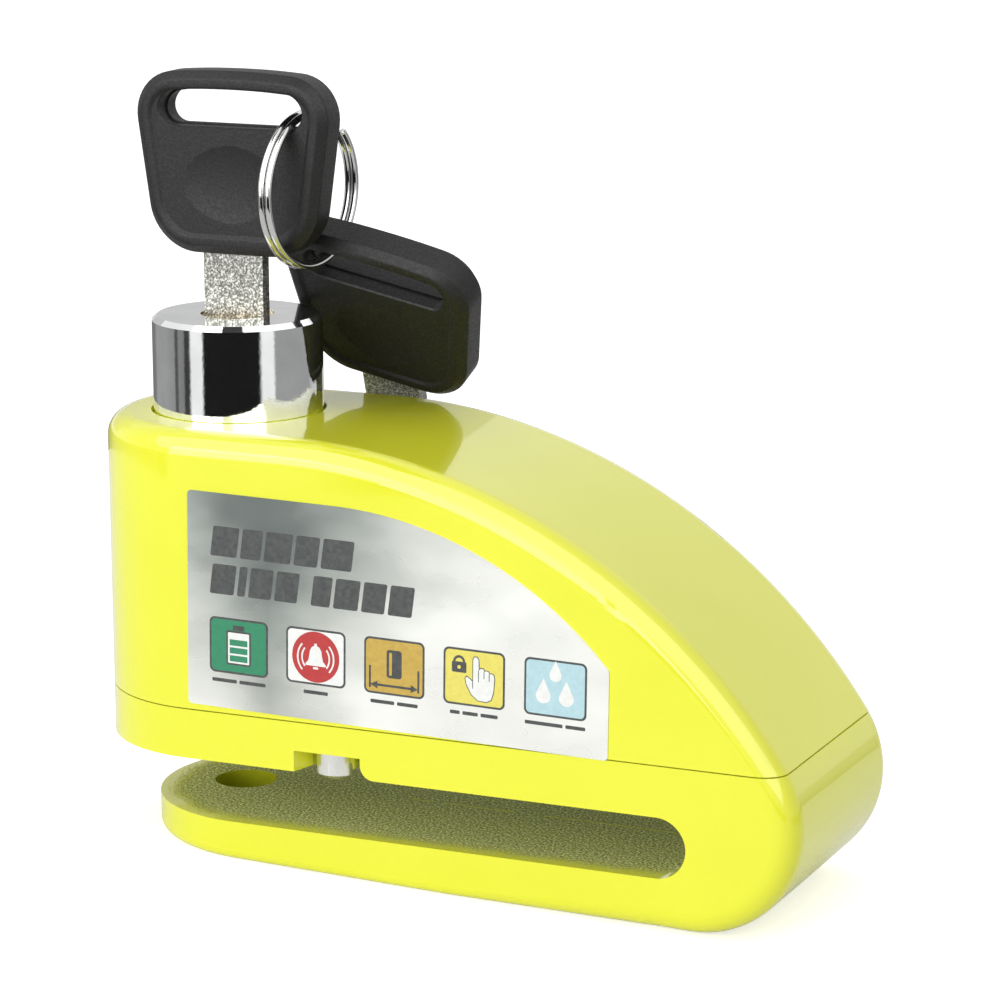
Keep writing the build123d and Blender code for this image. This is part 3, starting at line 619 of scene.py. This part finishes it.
# %% Key head's outline and relief
HEAD_TOP = 26.6 * MM
HEAD_BOTTOM = 20.7 * MM
HEAD_HIGH = 21.8 * MM
HEAD_ARCH = 0.9 * MM
ARCH_ROUND = 6.0 * MM
SHOULDER_ROUND = 5.6 * MM
FOOT_ROUND = 5.4 * MM
RIM_EDGE = 1.5 * MM
RIM = ((0.08, 0.14), (0.75, 0.70), (0.12, 0.09), (0.16, 0.07))  # insets and rises in mm
PANEL_STEP = ((0.70, 0.0), (0.16, -0.05), (0.25, -0.20), (0.16, -0.05))
TOUCHING = 0.01 * MM


def head_outline():
    """Face in the XZ plane with the head's outline, lower edge at z = 0."""
    head = start("plane", "key head", size=1, rotation=(radians(90), 0, 0))
    settle(head)
    edit()
    pick(head, "EDGE", lambda c, d: c.z > 0.4)  # the unit square's top edge
    bpy.ops.mesh.subdivide(number_cuts=1)
    leave()
    shoulder = HEAD_HIGH - HEAD_ARCH
    for v in head.data.vertices:
        top = v.co.z > 0
        side = 0 if abs(v.co.x) < 0.1 else (1 if v.co.x > 0 else -1)
        v.co.x = side * (HEAD_TOP if top else HEAD_BOTTOM) / 2
        v.co.z = (HEAD_HIGH if side == 0 else shoulder) if top else 0
        v.co.y = -RIM_EDGE
    corner_x = HEAD_TOP / 2 - TOUCHING
    edit()
    pick(head, "VERT", lambda c, n: abs(c.x) < TOUCHING)
    bpy.ops.mesh.bevel(offset=ARCH_ROUND, segments=8, affect="VERTICES")
    pick(head, "VERT", lambda c, n: c.z > shoulder - TOUCHING and abs(c.x) > corner_x)
    bpy.ops.mesh.bevel(offset=SHOULDER_ROUND, segments=12, affect="VERTICES")
    pick(head, "VERT", lambda c, n: c.z < TOUCHING)
    bpy.ops.mesh.bevel(offset=FOOT_ROUND, segments=12, affect="VERTICES")
    leave()
    return head


def head_relief(head):
    """Thickness, sloped rim, raised band and sunk panel, on both sides."""
    edit()
    bpy.ops.mesh.select_all(action="SELECT")
    bpy.ops.mesh.extrude_region_move(TRANSFORM_OT_translate={"value": (0, 2 * RIM_EDGE, 0)})
    turn_faces_out()
    pick(head, "FACE", lambda c, n: abs(n.y) > 0.9)
    for inset, rise in RIM + PANEL_STEP:
        bpy.ops.mesh.inset(thickness=inset * MM, depth=rise * MM, use_even_offset=True)
    leave()


print("key head", HEAD_TOP / MM, "mm wide and", HEAD_HIGH / MM, "mm high")

# %% [markdown]
# The long slot is cut with a boolean. Its cutter is a circle pulled apart into a bar with round
# ends, arched a little like the head's top, and extruded. A narrow cutter goes right through, and
# a wider one sinks into each side and flares at the surface, which leaves a fine ledge inside. A
# flattened ball scoops the dish.

# %% Key head's slot and dish
HEAD_SHIFT = 0.6 * MM
KEY_SLOT_WIDE = 18.8 * MM
KEY_SLOT_HIGH = 4.1 * MM
KEY_SLOT_Z = 17.05 * MM
SLOT_SIDES = 48
SLOT_ARCH = 0.9 * MM
SLOT_DROP = 0.15 * MM
SLOT_FLARE = 0.3 * MM
SLOT_LEDGE = 0.22 * MM
PANEL_Y = 2.2 * MM
DISH_WIDE, DISH_HIGH, DISH_Z = 6.3 * MM, 4.6 * MM, 8.3 * MM
DISH_SUNK, DISH_BALL = 0.42 * MM, 2.0 * MM
CORE_Y = 1.0 * MM  # the narrow cutter reaches this far to each side
LEDGE_Y = 0.25 * MM
FLARE_Y = PANEL_Y - 0.18 * MM  # the wide one runs straight from the ledge to here


def slot_cutter(shrink, near, far, flare):
    """Arched bar with round ends from one depth to another, flared over its last stretch."""
    r = KEY_SLOT_HIGH / 2 - SLOT_DROP - shrink
    reach = KEY_SLOT_WIDE / 2 - shrink - r
    upright = (radians(90), 0, radians(180 / SLOT_SIDES))
    cutter = start(
        "circle", "cutter", vertices=SLOT_SIDES, radius=r, fill_type="NGON", rotation=upright
    )
    settle(cutter)
    for v in cutter.data.vertices:
        v.co.x += reach if v.co.x > 0 else -reach
    edit()
    pick(cutter, "EDGE", lambda c, d: c.z > 0 and abs(c.x) < 0.5 * reach)
    bpy.ops.mesh.subdivide(number_cuts=11)
    leave()
    for v in cutter.data.vertices:
        if v.co.z > 0:
            v.co.z += SLOT_ARCH * max(0, 1 - (v.co.x / (reach + r)) ** 2) * v.co.z / r
        v.co.x += HEAD_SHIFT
        v.co.z += KEY_SLOT_Z - SLOT_DROP
        v.co.y = near
    side = 1 if far > near else -1
    edit()
    bpy.ops.mesh.select_all(action="SELECT")
    bpy.ops.mesh.extrude_region_move(TRANSFORM_OT_translate={"value": (0, far - near, 0)})
    if flare:
        bpy.ops.mesh.extrude_region_move(TRANSFORM_OT_translate={"value": (0, side * flare, 0)})
        size = (1 + 2 * flare / KEY_SLOT_WIDE, 1, 1 + 2 * flare / KEY_SLOT_HIGH)
        bpy.ops.transform.resize(value=size, center_override=(HEAD_SHIFT, 0, KEY_SLOT_Z))
    turn_faces_out()
    leave()
    return cutter


def dish_cutter(side):
    """Flattened ball that scoops the shallow oval dish out of a panel."""
    cutter = start("uv_sphere", "cutter", segments=72, ring_count=48, radius=1)
    spread = sqrt(1 - ((DISH_BALL - DISH_SUNK) / DISH_BALL) ** 2)
    cutter.scale = (DISH_WIDE / spread, DISH_BALL, DISH_HIGH / spread)
    cutter.location = (HEAD_SHIFT, side * (PANEL_Y + DISH_BALL - DISH_SUNK), DISH_Z)
    settle(cutter)
    return cutter


def cut(piece, cutter):
    modify(piece, "BOOLEAN", operation="DIFFERENCE", object=cutter, solver="EXACT")
    bpy.data.objects.remove(cutter)


print("key slot", KEY_SLOT_WIDE / MM, "by", KEY_SLOT_HIGH / MM, "mm")

# %% [markdown]
# The spare key hangs from the ring: its slot touches the wire at one angle round the ring, and
# from there the key leans back over the body's edge. Its head is a copy of the main key's, with
# its own mesh, turned to how it hangs.

# %% Both key heads in their places
HEAD_STAND = 64.5 * MM
RING_YAW = radians(-7.7)
RING_MEAN = 8.95 * MM
RING_INSET = 1.33 * MM
RING_BACK = 2.1 * MM
RING_LIFT = 0.17 * MM
RING_HIGH = HEAD_STAND + (KEY_SLOT_Z - KEY_SLOT_HIGH / 2) / 2 + RING_LIFT
RING_PLACE = Vector((HEAD_SHIFT + KEY_SLOT_WIDE / 2 - RING_INSET, RING_BACK, RING_HIGH))
SPARE_CONTACT = radians(-56.5)
SPARE_TURN = tuple(radians(a) for a in (30.7, 13.0, -9.3))
TOUCH_X = HEAD_SHIFT - KEY_SLOT_WIDE / 2 + 3.0 * MM  # the wire's place in the spare key's slot
TOUCH_Z = KEY_SLOT_Z + 1.10 * MM
SPARE_HANG = Vector((-TOUCH_X, 0, -TOUCH_Z))


def key_head():
    """Moulded head in the blade's own frame: lower edge at z = 0."""
    head = head_outline()
    head_relief(head)
    head.location = (HEAD_SHIFT, 0, 0)
    settle(head)
    cut(head, slot_cutter(SLOT_LEDGE, -CORE_Y, CORE_Y, 0))
    for side in (-1, 1):
        cut(head, slot_cutter(0, side * LEDGE_Y, side * FLARE_Y, SLOT_FLARE))
        cut(head, dish_cutter(side))
    outward(head)
    smooth(head, 32)
    modify(head, "WEIGHTED_NORMAL", keep_sharp=True)
    coat(head, key_nylon)
    return head


def spare_matrix():
    """Where the spare key hangs: its slot on the ring, leaning back over the body's edge."""
    around = Matrix.Rotation(RING_YAW, 4, "Z")
    on_ring = Vector((0, RING_MEAN * cos(SPARE_CONTACT), RING_MEAN * sin(SPARE_CONTACT)))
    touch = RING_PLACE + around @ on_ring
    lean, tilt, spin = SPARE_TURN
    leaned = Matrix.Rotation(lean, 4, "X") @ Matrix.Rotation(tilt, 4, "Y")
    turn = Matrix.Rotation(spin, 4, "Z") @ leaned
    return Matrix.Translation(touch) @ turn @ Matrix.Translation(SPARE_HANG)


main_head = key_head()
main_head.name = "main_key_moulding"
spare_head = main_head.copy()
spare_head.data = main_head.data.copy()
bpy.context.scene.collection.objects.link(spare_head)
spare_head.name = "spare_key_moulding"
spare_head.matrix_world = spare_matrix()
main_head.location = (0, 0, HEAD_STAND)
heads = (main_head, "main_key", "main_key_head"), (spare_head, "spare_key", "spare_key_head")
for piece, body, node in heads:
    settle(piece)
    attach(piece, body)
    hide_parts(node)
print("key head faces:", len(main_head.data.polygons))

# %% [markdown]
# ## Split ring
# A split ring is one length of spring wire, wound twice round and pressed flat, with a short
# slope where it crosses from one turn to the other. The wire's section is spun round the ring's
# axis for almost two full turns, and each step of the spin is then slid along the axis: one side
# for the first turn, the other for the second, with a smooth crossing between them.

# %% Split ring
WIRE = 0.86 * MM
WIRE_SIDES = 12
WIRE_END_BEVEL = 0.12 * MM
TURN_OFFSET = 0.475 * MM
RING_STEPS = 232
RING_SWEEP = radians(2 * 360 - 22)
CROSSING = radians(26)
RING_START = radians(134)


def turn_side(angle):
    """0 on the first turn of the wire and 1 on the second, easing over across the crossing."""
    t = (angle - (RING_SWEEP - CROSSING) / 2) / CROSSING
    t = min(1, max(0, t))
    return t * t * (3 - 2 * t)


def split_ring():
    ring = start(
        "circle", "split ring wire", vertices=WIRE_SIDES, radius=WIRE / 2, fill_type="NOTHING"
    )
    ring.rotation_euler = (radians(90), 0, 0)
    ring.location = (RING_MEAN, 0, 0)
    settle(ring)
    edit()
    bpy.ops.mesh.select_all(action="SELECT")
    bpy.ops.mesh.spin(
        steps=RING_STEPS, angle=RING_SWEEP, center=(0, 0, 0), axis=(0, 0, 1),
        use_auto_merge=False, dupli=False,
    )
    leave()
    for index, v in enumerate(ring.data.vertices):
        angle = RING_SWEEP * (index // WIRE_SIDES) / RING_STEPS
        v.co.z -= TURN_OFFSET * (2 * turn_side(angle) - 1)
    edit()
    bpy.ops.mesh.select_mode(type="EDGE")
    bpy.ops.mesh.select_all(action="DESELECT")
    bpy.ops.mesh.select_non_manifold()  # the wire's two open ends
    bpy.ops.mesh.edge_face_add()
    leave()
    outward(ring)
    modify(
        ring, "BEVEL", width=WIRE_END_BEVEL, segments=2, limit_method="ANGLE",
        angle_limit=radians(60),
    )
    smooth(ring, 40)
    return ring


ring = split_ring()
ring.matrix_world = (
    Matrix.Translation(RING_PLACE)
    @ Matrix.Rotation(RING_YAW, 4, "Z")
    @ Matrix.Rotation(radians(90), 4, "Y")
    @ Matrix.Rotation(RING_START, 4, "Z")
)
settle(ring)
ring.name = "split_ring_wire"
coat(ring, ring_nickel)
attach(ring, "ring")
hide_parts("split_ring")
print("ring faces:", len(ring.data.polygons))

# %% [markdown]
# ## Print on the label
# The label carries two rows of heavy blocks and five pictogram tiles with captions. The rows are
# plain slanted blocks and the captions thin dashes, so that the label says nothing, and the tiles
# get simple signs. Every mark is a thin printed layer: a plane or circle, its corners bevelled
# round, extruded to a film's thickness. The layers are modelled flat, in the label's own
# left-to-right and bottom-to-top millimetres, and laid on the plate together at the end.

# %% Helpers for round and square marks
LAYER = 0.012 * MM
ROUND_SIDES = 40
printed = []


def layer(mark, level, inked):
    """Gives a flat mark its thickness and ink, at its level in the stack of print."""
    edit()
    bpy.ops.mesh.select_all(action="SELECT")
    bpy.ops.mesh.extrude_region_move(TRANSFORM_OT_translate={"value": (0, 0, LAYER * level)})
    turn_faces_out()
    leave()
    coat(mark, inked)
    printed.append(mark)


def block(u, v, wide, high, inked, level, corner=0.0, slant=0.0):
    """Rectangle by its middle, with round corners and a slant."""
    mark = start("plane", "mark", size=1)
    for point in mark.data.vertices:
        aside = slant * MM if point.co.y > 0 else -slant * MM
        point.co.x = point.co.x * wide * MM + aside
        point.co.y *= high * MM
    mark.location = (u * MM, v * MM, 0)
    settle(mark)
    if corner:
        edit()
        bpy.ops.mesh.select_all(action="SELECT")
        bpy.ops.mesh.bevel(offset=corner * MM, segments=6, affect="VERTICES")
        leave()
    layer(mark, level, inked)


def disc(u, v, r, inked, level, sides=ROUND_SIDES):
    mark = start(
        "circle", "mark", vertices=sides, radius=r * MM, fill_type="NGON",
        location=(u * MM, v * MM, 0),
    )
    settle(mark)
    layer(mark, level, inked)


print("one layer of print:", round(LAYER / MM * 1000), "micrometres")

# %% [markdown]
# A bell, a hand or a curved band has no primitive of its own. A circle has as many corners as are
# asked for, so it serves as any closed outline once its corners are put in place one by one.

# %% Helpers for free outlines
BOW_STEPS = 12


def outline(points, inked, level, u=0.0, v=0.0):
    """Any closed outline, from a circle primitive whose points are placed one by one."""
    mark = start("circle", "mark", vertices=len(points), radius=1, fill_type="NGON")
    for point, (a, b) in zip(mark.data.vertices, points):
        point.co = ((a + u) * MM, (b + v) * MM, 0)
    layer(mark, level, inked)


def grown(points, margin):
    """Clockwise outline moved outwards by a margin."""
    out = []
    for before, here, after in zip(points[-1:] + points[:-1], points, points[1:] + points[:1]):
        first = (Vector(here) - Vector(before)).normalized()
        second = (Vector(after) - Vector(here)).normalized()
        aside = Vector((-first.y - second.y, first.x + second.x))
        out.append(Vector(here) + aside * margin / (1 + first.dot(second)))
    return out


def bow(u, v, r, thick, first, last, inked, level):
    """Curved band about a middle, between two angles in degrees."""
    angles = [radians(first + (last - first) * i / BOW_STEPS) for i in range(BOW_STEPS + 1)]
    far, near = r + thick / 2, r - thick / 2
    outer = [(u + far * cos(a), v + far * sin(a)) for a in angles]
    inner = [(u + near * cos(a), v + near * sin(a)) for a in reversed(angles)]
    outline(outer + inner, inked, level)


print("a curved band has", 2 * BOW_STEPS + 2, "corners")

# %% [markdown]
# Slanted blocks stand as two rows: five in the upper row and eight in the lower, about as heavy
# and as widely spaced as printed words. A dark frame under a coloured field makes each tile.

# %% Blocks and tiles
TILE_WIDE = 7.6
TILE_HIGH = 6.65
TILE_FRAME = 0.5
TILE_PITCH = 9.96
TILE_FIRST = 6.65
TILE_MIDDLE = 7.53
ROW_TOP = (19.85, 3.55)
ROW_LOW = (15.35, 3.55)
BLOCK_GAP = 0.45
BLOCK_CORNER = 0.25
BLOCK_SLANT = 0.22
CAPTION_V = 3.3
DASH_HIGH = 0.42
DASH_GAP = 0.35


def block_row(row, first, widths):
    """Row of slanted blocks from a left end. A negative width leaves a space."""
    u = first
    for wide in widths:
        if wide > 0:
            block(u + wide / 2, row[0], wide, row[1], ink_dark, 1, BLOCK_CORNER, BLOCK_SLANT)
        u += abs(wide) + BLOCK_GAP


def tile(index, inked):
    """Framed tile: dark round-cornered frame, coloured field inside it. Returns its middle."""
    u = TILE_FIRST + index * TILE_PITCH
    block(u, TILE_MIDDLE, TILE_WIDE, TILE_HIGH, ink_dark, 1, 0.7)
    block(u, TILE_MIDDLE, TILE_WIDE - TILE_FRAME, TILE_HIGH - TILE_FRAME, inked, 2, 0.5)
    return u, TILE_MIDDLE


def caption(index, widths):
    """Row of short dashes under a tile."""
    total = sum(widths) + DASH_GAP * (len(widths) - 1)
    u = TILE_FIRST + index * TILE_PITCH - total / 2
    for wide in widths:
        block(u + wide / 2, CAPTION_V, wide, DASH_HIGH, ink_dark, 1, 0.12)
        u += wide + DASH_GAP


block_row(ROW_TOP, 3.2, (3.4, 2.6, 3.4, 3.0, 3.9))
block_row(ROW_LOW, 3.1, (3.1, 1.0, 2.9, 2.9, -0.9, 2.4, 3.1, 2.9, 3.0))
for index, widths in enumerate(((3.2, 3.4), (3.1,), (3.0, 2.6), (1.2, 1.9, 2.1), (4.6, 2.4))):
    caption(index, widths)
print("marks so far:", len(printed))

# %% [markdown]
# The five signs: a battery with bars for low power, a bell in a red disc for the alarm, a pin
# between two arrows for its width, a padlock beside a pressing finger, and three drops for rain.

# %% Signs of the battery, the bell and the pin
BELL_HALF = (
    (1.30, -1.05), (1.30, -0.85), (0.95, -0.45), (0.82, 0.1), (0.74, 0.7), (0.5, 1.15),
    (0.16, 1.35), (0.16, 1.6),
)
ARROW = ((3.0, -2.25), (2.1, -1.8), (2.1, -2.7))


def battery_sign(u, v):
    block(u, v - 0.2, 3.2, 4.1, ink_dark, 3, 0.25)
    block(u, v - 0.2, 2.75, 3.65, ink_white, 4, 0.12)
    block(u, v + 2.2, 1.5, 0.6, ink_dark, 3, 0.1)
    for i in range(3):
        block(u, v - 1.45 + i * 0.95, 2.3, 0.72, ink_green, 5)


def bell_sign(u, v):
    disc(u, v, 3.02, ink_red, 3)
    left_half = [(-a, b) for a, b in reversed(BELL_HALF)]
    outline(left_half + list(BELL_HALF), ink_white, 4, u, v)
    block(u, v - 1.32, 0.66, 0.26, ink_white, 4, 0.1)
    for turn in (0, 180):
        bow(u, v - 0.1, 1.75, 0.2, turn - 38, turn + 38, ink_white, 4)
        bow(u, v - 0.1, 2.3, 0.2, turn - 42, turn + 42, ink_white, 4)


def pin_sign(u, v):
    block(u, v + 0.35, 1.9, 3.3, ink_dark, 3, 0.35)
    block(u - 0.45, v + 0.35, 0.35, 2.7, ink_gold, 4, 0.15)
    block(u, v - 2.25, 4.6, 0.28, ink_dark, 3)
    for side in (-1, 1):
        outline([(side * a, b) for a, b in ARROW], ink_dark, 4, u, v)
        block(u + side * 3.05, v - 1.35, 0.24, 2.6, ink_dark, 3)


battery_sign(*tile(0, ink_green))
bell_sign(*tile(1, ink_white))
pin_sign(*tile(2, ink_gold))
print("marks so far:", len(printed))

# %% [markdown]
# The pressing hand is one outline, with the same outline grown a little beneath it as its dark
# edge, and fine lines between the fingers. Each drop is most of a circle drawn up to a point.

# %% Signs of the pressing hand and the drops
# one raised finger, three folded ones, palm and thumb, clockwise from the raised finger's root
HAND = (
    (-0.11, -0.50), (-0.11, 2.15), (0.06, 2.46), (0.37, 2.46), (0.54, 2.15), (0.60, 0.98),
    (0.83, 1.21), (1.14, 1.19), (1.29, 0.92), (1.51, 1.00), (1.77, 0.95), (1.91, 0.65),
    (2.11, 0.76), (2.40, 0.62), (2.51, 0.21), (2.40, -1.38), (2.11, -2.30), (1.54, -2.60),
    (0.54, -2.55), (-0.26, -1.97), (-0.89, -0.90), (-1.06, -0.15), (-0.89, 0.10), (-0.46, -0.18),
)
HAND_EDGE = 0.1
HAND_LINES = ((0.56, 0.30, 1.40), (1.24, 0.50, 0.90), (1.88, 0.25, 0.85), (-0.16, -0.85, 0.75))
DROPS = ((0.0, 1.55, 0.74), (-1.45, -0.95, 0.9), (1.35, -1.0, 0.9))


def press_sign(u, v):
    lock_u, lock_v = u - 1.85, v + 1.1
    block(lock_u, lock_v, 1.8, 1.25, ink_dark, 3, 0.15)
    bow(lock_u, lock_v + 0.62, 0.6, 0.3, 0, 180, ink_dark, 3)
    disc(lock_u, lock_v, 0.22, ink_yellow, 4, 16)
    outline(grown(HAND, HAND_EDGE), ink_dark, 3, u, v)
    outline(HAND, ink_white, 4, u, v)
    for line_u, line_v, tall in HAND_LINES:
        block(u + line_u, v + line_v, 0.09, tall, ink_dark, 5)


def drop_sign(u, v):
    for du, dv, size in DROPS:
        turns = [radians(a) for a in range(-205, 26, 15)]
        round_part = [(size * cos(a), size * sin(a)) for a in turns]
        outline([(0, size * 2.25)] + round_part, ink_white, 3, u + du, v + dv)


press_sign(*tile(3, ink_yellow))
drop_sign(*tile(4, ink_blue))
print("marks in all:", len(printed))

# %% [markdown]
# The marks are joined into one piece and laid on the label plate, which sits very slightly
# crooked on the body.

# %% Lay the print on the label
LABEL_CORNER = Vector((1.3, -16.35, 13.9)) * MM
LABEL_TURN = radians(1.0)


def lay_on_label(marks, name):
    sheet = join(marks, name)
    stand = Matrix.Rotation(radians(90), 4, "X")
    crooked = Matrix.Rotation(LABEL_TURN, 4, "Y")
    sheet.matrix_world = Matrix.Translation(LABEL_CORNER) @ crooked @ stand
    settle(sheet)
    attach(sheet, "housing")
    return sheet


label_print = lay_on_label(printed, "label_print")
print("label print faces:", len(label_print.data.polygons))

# %% [markdown]
# ## Floor
# The lock stands on a pale floor that runs away to white. A plain white floor would look grey
# under soft light, so it also glows a little for the camera, and less for reflections. The light
# on the object doesn't see that glow, and the lock's shadow still shows. The underside slopes a
# little against the slot, so the floor is tilted to meet it.

# %% Floor
UNDERSIDE_DROP = radians(1.72)
UNDERSIDE_Z = -4.53 * MM
FLOOR_SIZE = 6
FLOOR_GAP = 0.02 * MM
FLOOR_GREY = 0.80
GLOW_IN_REFLECTIONS = 0.12
GLOW_FOR_CAMERA = 0.48  # more, on top of that


def seen_directly(w, rays):
    """1 where the camera, a glossy or a transmission ray looks, and 0 for light on surfaces."""
    seen = w.math("MAXIMUM", rays.outputs["Is Camera Ray"], rays.outputs["Is Glossy Ray"])
    return w.math("MAXIMUM", seen, rays.outputs["Is Transmission Ray"])


def floor_material():
    """Pale floor that turns white for the camera but keeps the shadow."""
    material, w, shader = new_material("pale floor")
    w.nodes.remove(shader)
    matt = w.nodes.new("ShaderNodeBsdfDiffuse")
    matt.inputs["Color"].default_value = (*grey(FLOOR_GREY), 1)
    glow = w.nodes.new("ShaderNodeEmission")
    rays = w.nodes.new("ShaderNodeLightPath")
    extra = w.times(rays.outputs["Is Camera Ray"], GLOW_FOR_CAMERA)
    w.link(w.add(extra, GLOW_IN_REFLECTIONS), glow.inputs["Strength"])
    both = w.nodes.new("ShaderNodeAddShader")
    w.link(matt.outputs[0], both.inputs[0])
    w.link(glow.outputs[0], both.inputs[1])
    choose = w.nodes.new("ShaderNodeMixShader")
    w.link(seen_directly(w, rays), choose.inputs[0])
    w.link(matt.outputs[0], choose.inputs[1])
    w.link(both.outputs[0], choose.inputs[2])
    w.link(choose.outputs[0], w.nodes["Material Output"].inputs["Surface"])
    return material


def add_floor():
    floor = start("plane", "floor", size=FLOOR_SIZE)
    floor.rotation_euler = (0, UNDERSIDE_DROP, 0)
    floor.location = (0, 0, UNDERSIDE_Z - FLOOR_GAP)
    settle(floor)
    coat(floor, floor_material())
    floor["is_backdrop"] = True
    return floor


floor = add_floor()
print("floor", [round(side, 2) for side in floor.dimensions], "m")

# %% [markdown]
# ## World and lights
# A big soft light from the front left, a wider and weaker one from above and an even world keep
# the paint near its own colour. The world lights the lock at less than full strength, but the
# camera, metal and gloss see it as white.

# %% World and lights
WORLD_LEVEL = 0.62
MIDDLE = (0.03, 0, 0.03)


def add_world():
    """Even pale light, white where it is seen."""
    world = bpy.data.worlds.new("studio")
    bpy.context.scene.world = world
    world.use_nodes = True
    w = Wiring(world.node_tree)
    back = w.nodes["Background"]
    back.inputs["Color"].default_value = (1, 1, 1, 1)
    rays = w.nodes.new("ShaderNodeLightPath")
    extra = w.times(seen_directly(w, rays), 1.0 - WORLD_LEVEL)
    w.link(w.add(extra, WORLD_LEVEL), back.inputs["Strength"])


def soft_light(name, place, size, power):
    """Rectangular area light aimed at the lock."""
    data = bpy.data.lights.new(name, "AREA")
    data.shape = "RECTANGLE"
    data.size, data.size_y = size
    data.energy = power
    light = bpy.data.objects.new(name, data)
    bpy.context.scene.collection.objects.link(light)
    light.location = place
    light.rotation_euler = (Vector(MIDDLE) - Vector(place)).to_track_quat("-Z", "Y").to_euler()


add_world()
soft_light("front light", (-0.25, -0.85, 0.25), (0.7, 0.5), 5.0)
soft_light("top light", (0.25, 0.15, 0.9), (1.5, 1.5), 2.8)
print("lights:", len(bpy.data.lights), "and a world at", WORLD_LEVEL)

# %% [markdown]
# ## Cards for reflections
# Chrome and gloss only look right if they have something to reflect. A card is a glowing plane
# that only reflections see. One puts the pale band on the arc's edge, one is the grey behind the
# barrel's top face, and a small dark one in the air gives the barrel's bevel its dark line.

# %% Cards


def for_reflections_only(piece):
    """Hides the piece from the camera and from the light on surfaces."""
    piece.visible_camera = False
    piece.visible_diffuse = False
    piece.visible_shadow = False


def card(name, place, size, tone, roll=0.0):
    """Flat glowing card aimed at the lock."""
    board = start("plane", name, size=1)
    board.scale = (*size, 1)
    board.location = place
    facing = (Vector(MIDDLE) - Vector(place)).to_track_quat("Z", "Y").to_matrix()
    board.rotation_euler = (facing @ Matrix.Rotation(roll, 3, "Z")).to_euler()
    settle(board)
    material, w, shader = new_material(name)
    w.nodes.remove(shader)
    glow = w.nodes.new("ShaderNodeEmission")
    glow.inputs["Strength"].default_value = tone
    w.link(glow.outputs[0], w.nodes["Material Output"].inputs["Surface"])
    coat(board, material)
    for_reflections_only(board)
    board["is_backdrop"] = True
    return board


cards = [
    card("pale band on the arc's edge", (0.12, -0.51, 0.58), (2.2, 0.95), 3.6, radians(12)),
    card("grey behind the barrel's top", (-0.33, 0.36, 0.19), (0.5, 0.22), 0.62),
    card("dark bevel on the barrel", (0.003, -0.022, 0.150), (0.05, 0.03), 0.05),
]
print("cards:", [board.name for board in cards])

# %% [markdown]
# The camera looks a little down, so the barrel's upright wall mirrors the floor all round the
# lock. A flat ring just over the floor, which only reflections see, holds a tone for each bearing
# round the barrel: black in front, a bright gap on each side of it, and greys behind.

# %% Reflection ring
RING_CARD_INNER = 0.20
RING_CARD_OUTER = 0.95
RING_CARD_GAP = 0.5 * MM
BLACK, DIM, MIDDLING, PALE, BRIGHT = 0.012, 0.10, 0.36, 0.62, 1.0
SECTORS = (
    (-180, PALE), (-168, PALE), (-160, 0.20), (-120, 0.20), (-110, MIDDLING), (-84, MIDDLING),
    (-66, 0.30), (-64, DIM), (-60, DIM), (-58, 0.26), (-49, 0.24), (-47, 0.05), (-40, 0.06),
    (-37, BRIGHT), (-21, BRIGHT), (-18, BLACK), (56, BLACK), (60, BRIGHT), (76, BRIGHT),
    (79, MIDDLING), (136, MIDDLING), (146, PALE), (180, PALE),
)


def reflection_material():
    """Tones by bearing round the barrel, from -180 to 180 degrees, with 0 straight in front."""
    material, w, shader = new_material("reflection ring")
    w.nodes.remove(shader)
    x, y, _ = w.place()
    bearing = w.math("ARCTAN2", x, w.times(y, -1.0))
    share = w.add(w.math("DIVIDE", bearing, 2 * pi), 0.5)
    tone = w.ramp(share, *(((angle + 180) / 360, grey(level)) for angle, level in SECTORS))
    glow = w.nodes.new("ShaderNodeEmission")
    w.link(tone, glow.inputs["Color"])
    w.link(glow.outputs[0], w.nodes["Material Output"].inputs["Surface"])
    return material


def add_reflection_ring():
    """Flat ring just over the floor, which only reflections see."""
    band = start(
        "circle", "reflection ring", vertices=96, radius=RING_CARD_INNER, fill_type="NOTHING"
    )
    edit()
    bpy.ops.mesh.select_all(action="SELECT")
    bpy.ops.mesh.extrude_region_move()
    grow = RING_CARD_OUTER / RING_CARD_INNER
    bpy.ops.transform.resize(value=(grow, grow, 1))
    leave()
    band.rotation_euler = (0, UNDERSIDE_DROP, 0)
    band.location = (0, 0, UNDERSIDE_Z + RING_CARD_GAP)
    settle(band)
    coat(band, reflection_material())
    band.visible_transmission = False
    for_reflections_only(band)
    band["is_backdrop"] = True
    return band


reflection_ring = add_reflection_ring()
print("reflection ring", [round(side, 2) for side in reflection_ring.dimensions], "m")

# %% [markdown]
# ## Sizes and the end
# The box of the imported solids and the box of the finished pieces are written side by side, so
# that a piece that has grown past its solid is noticed.

# %% Finish
bpy.context.scene.view_settings.view_transform = "Standard"
visual_box = [list(corner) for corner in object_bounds()]
for low_high, cad, seen in zip(("low", "high"), cad_box, visual_box):
    print(low_high, [round(c / MM, 2) for c in cad], [round(c / MM, 2) for c in seen])
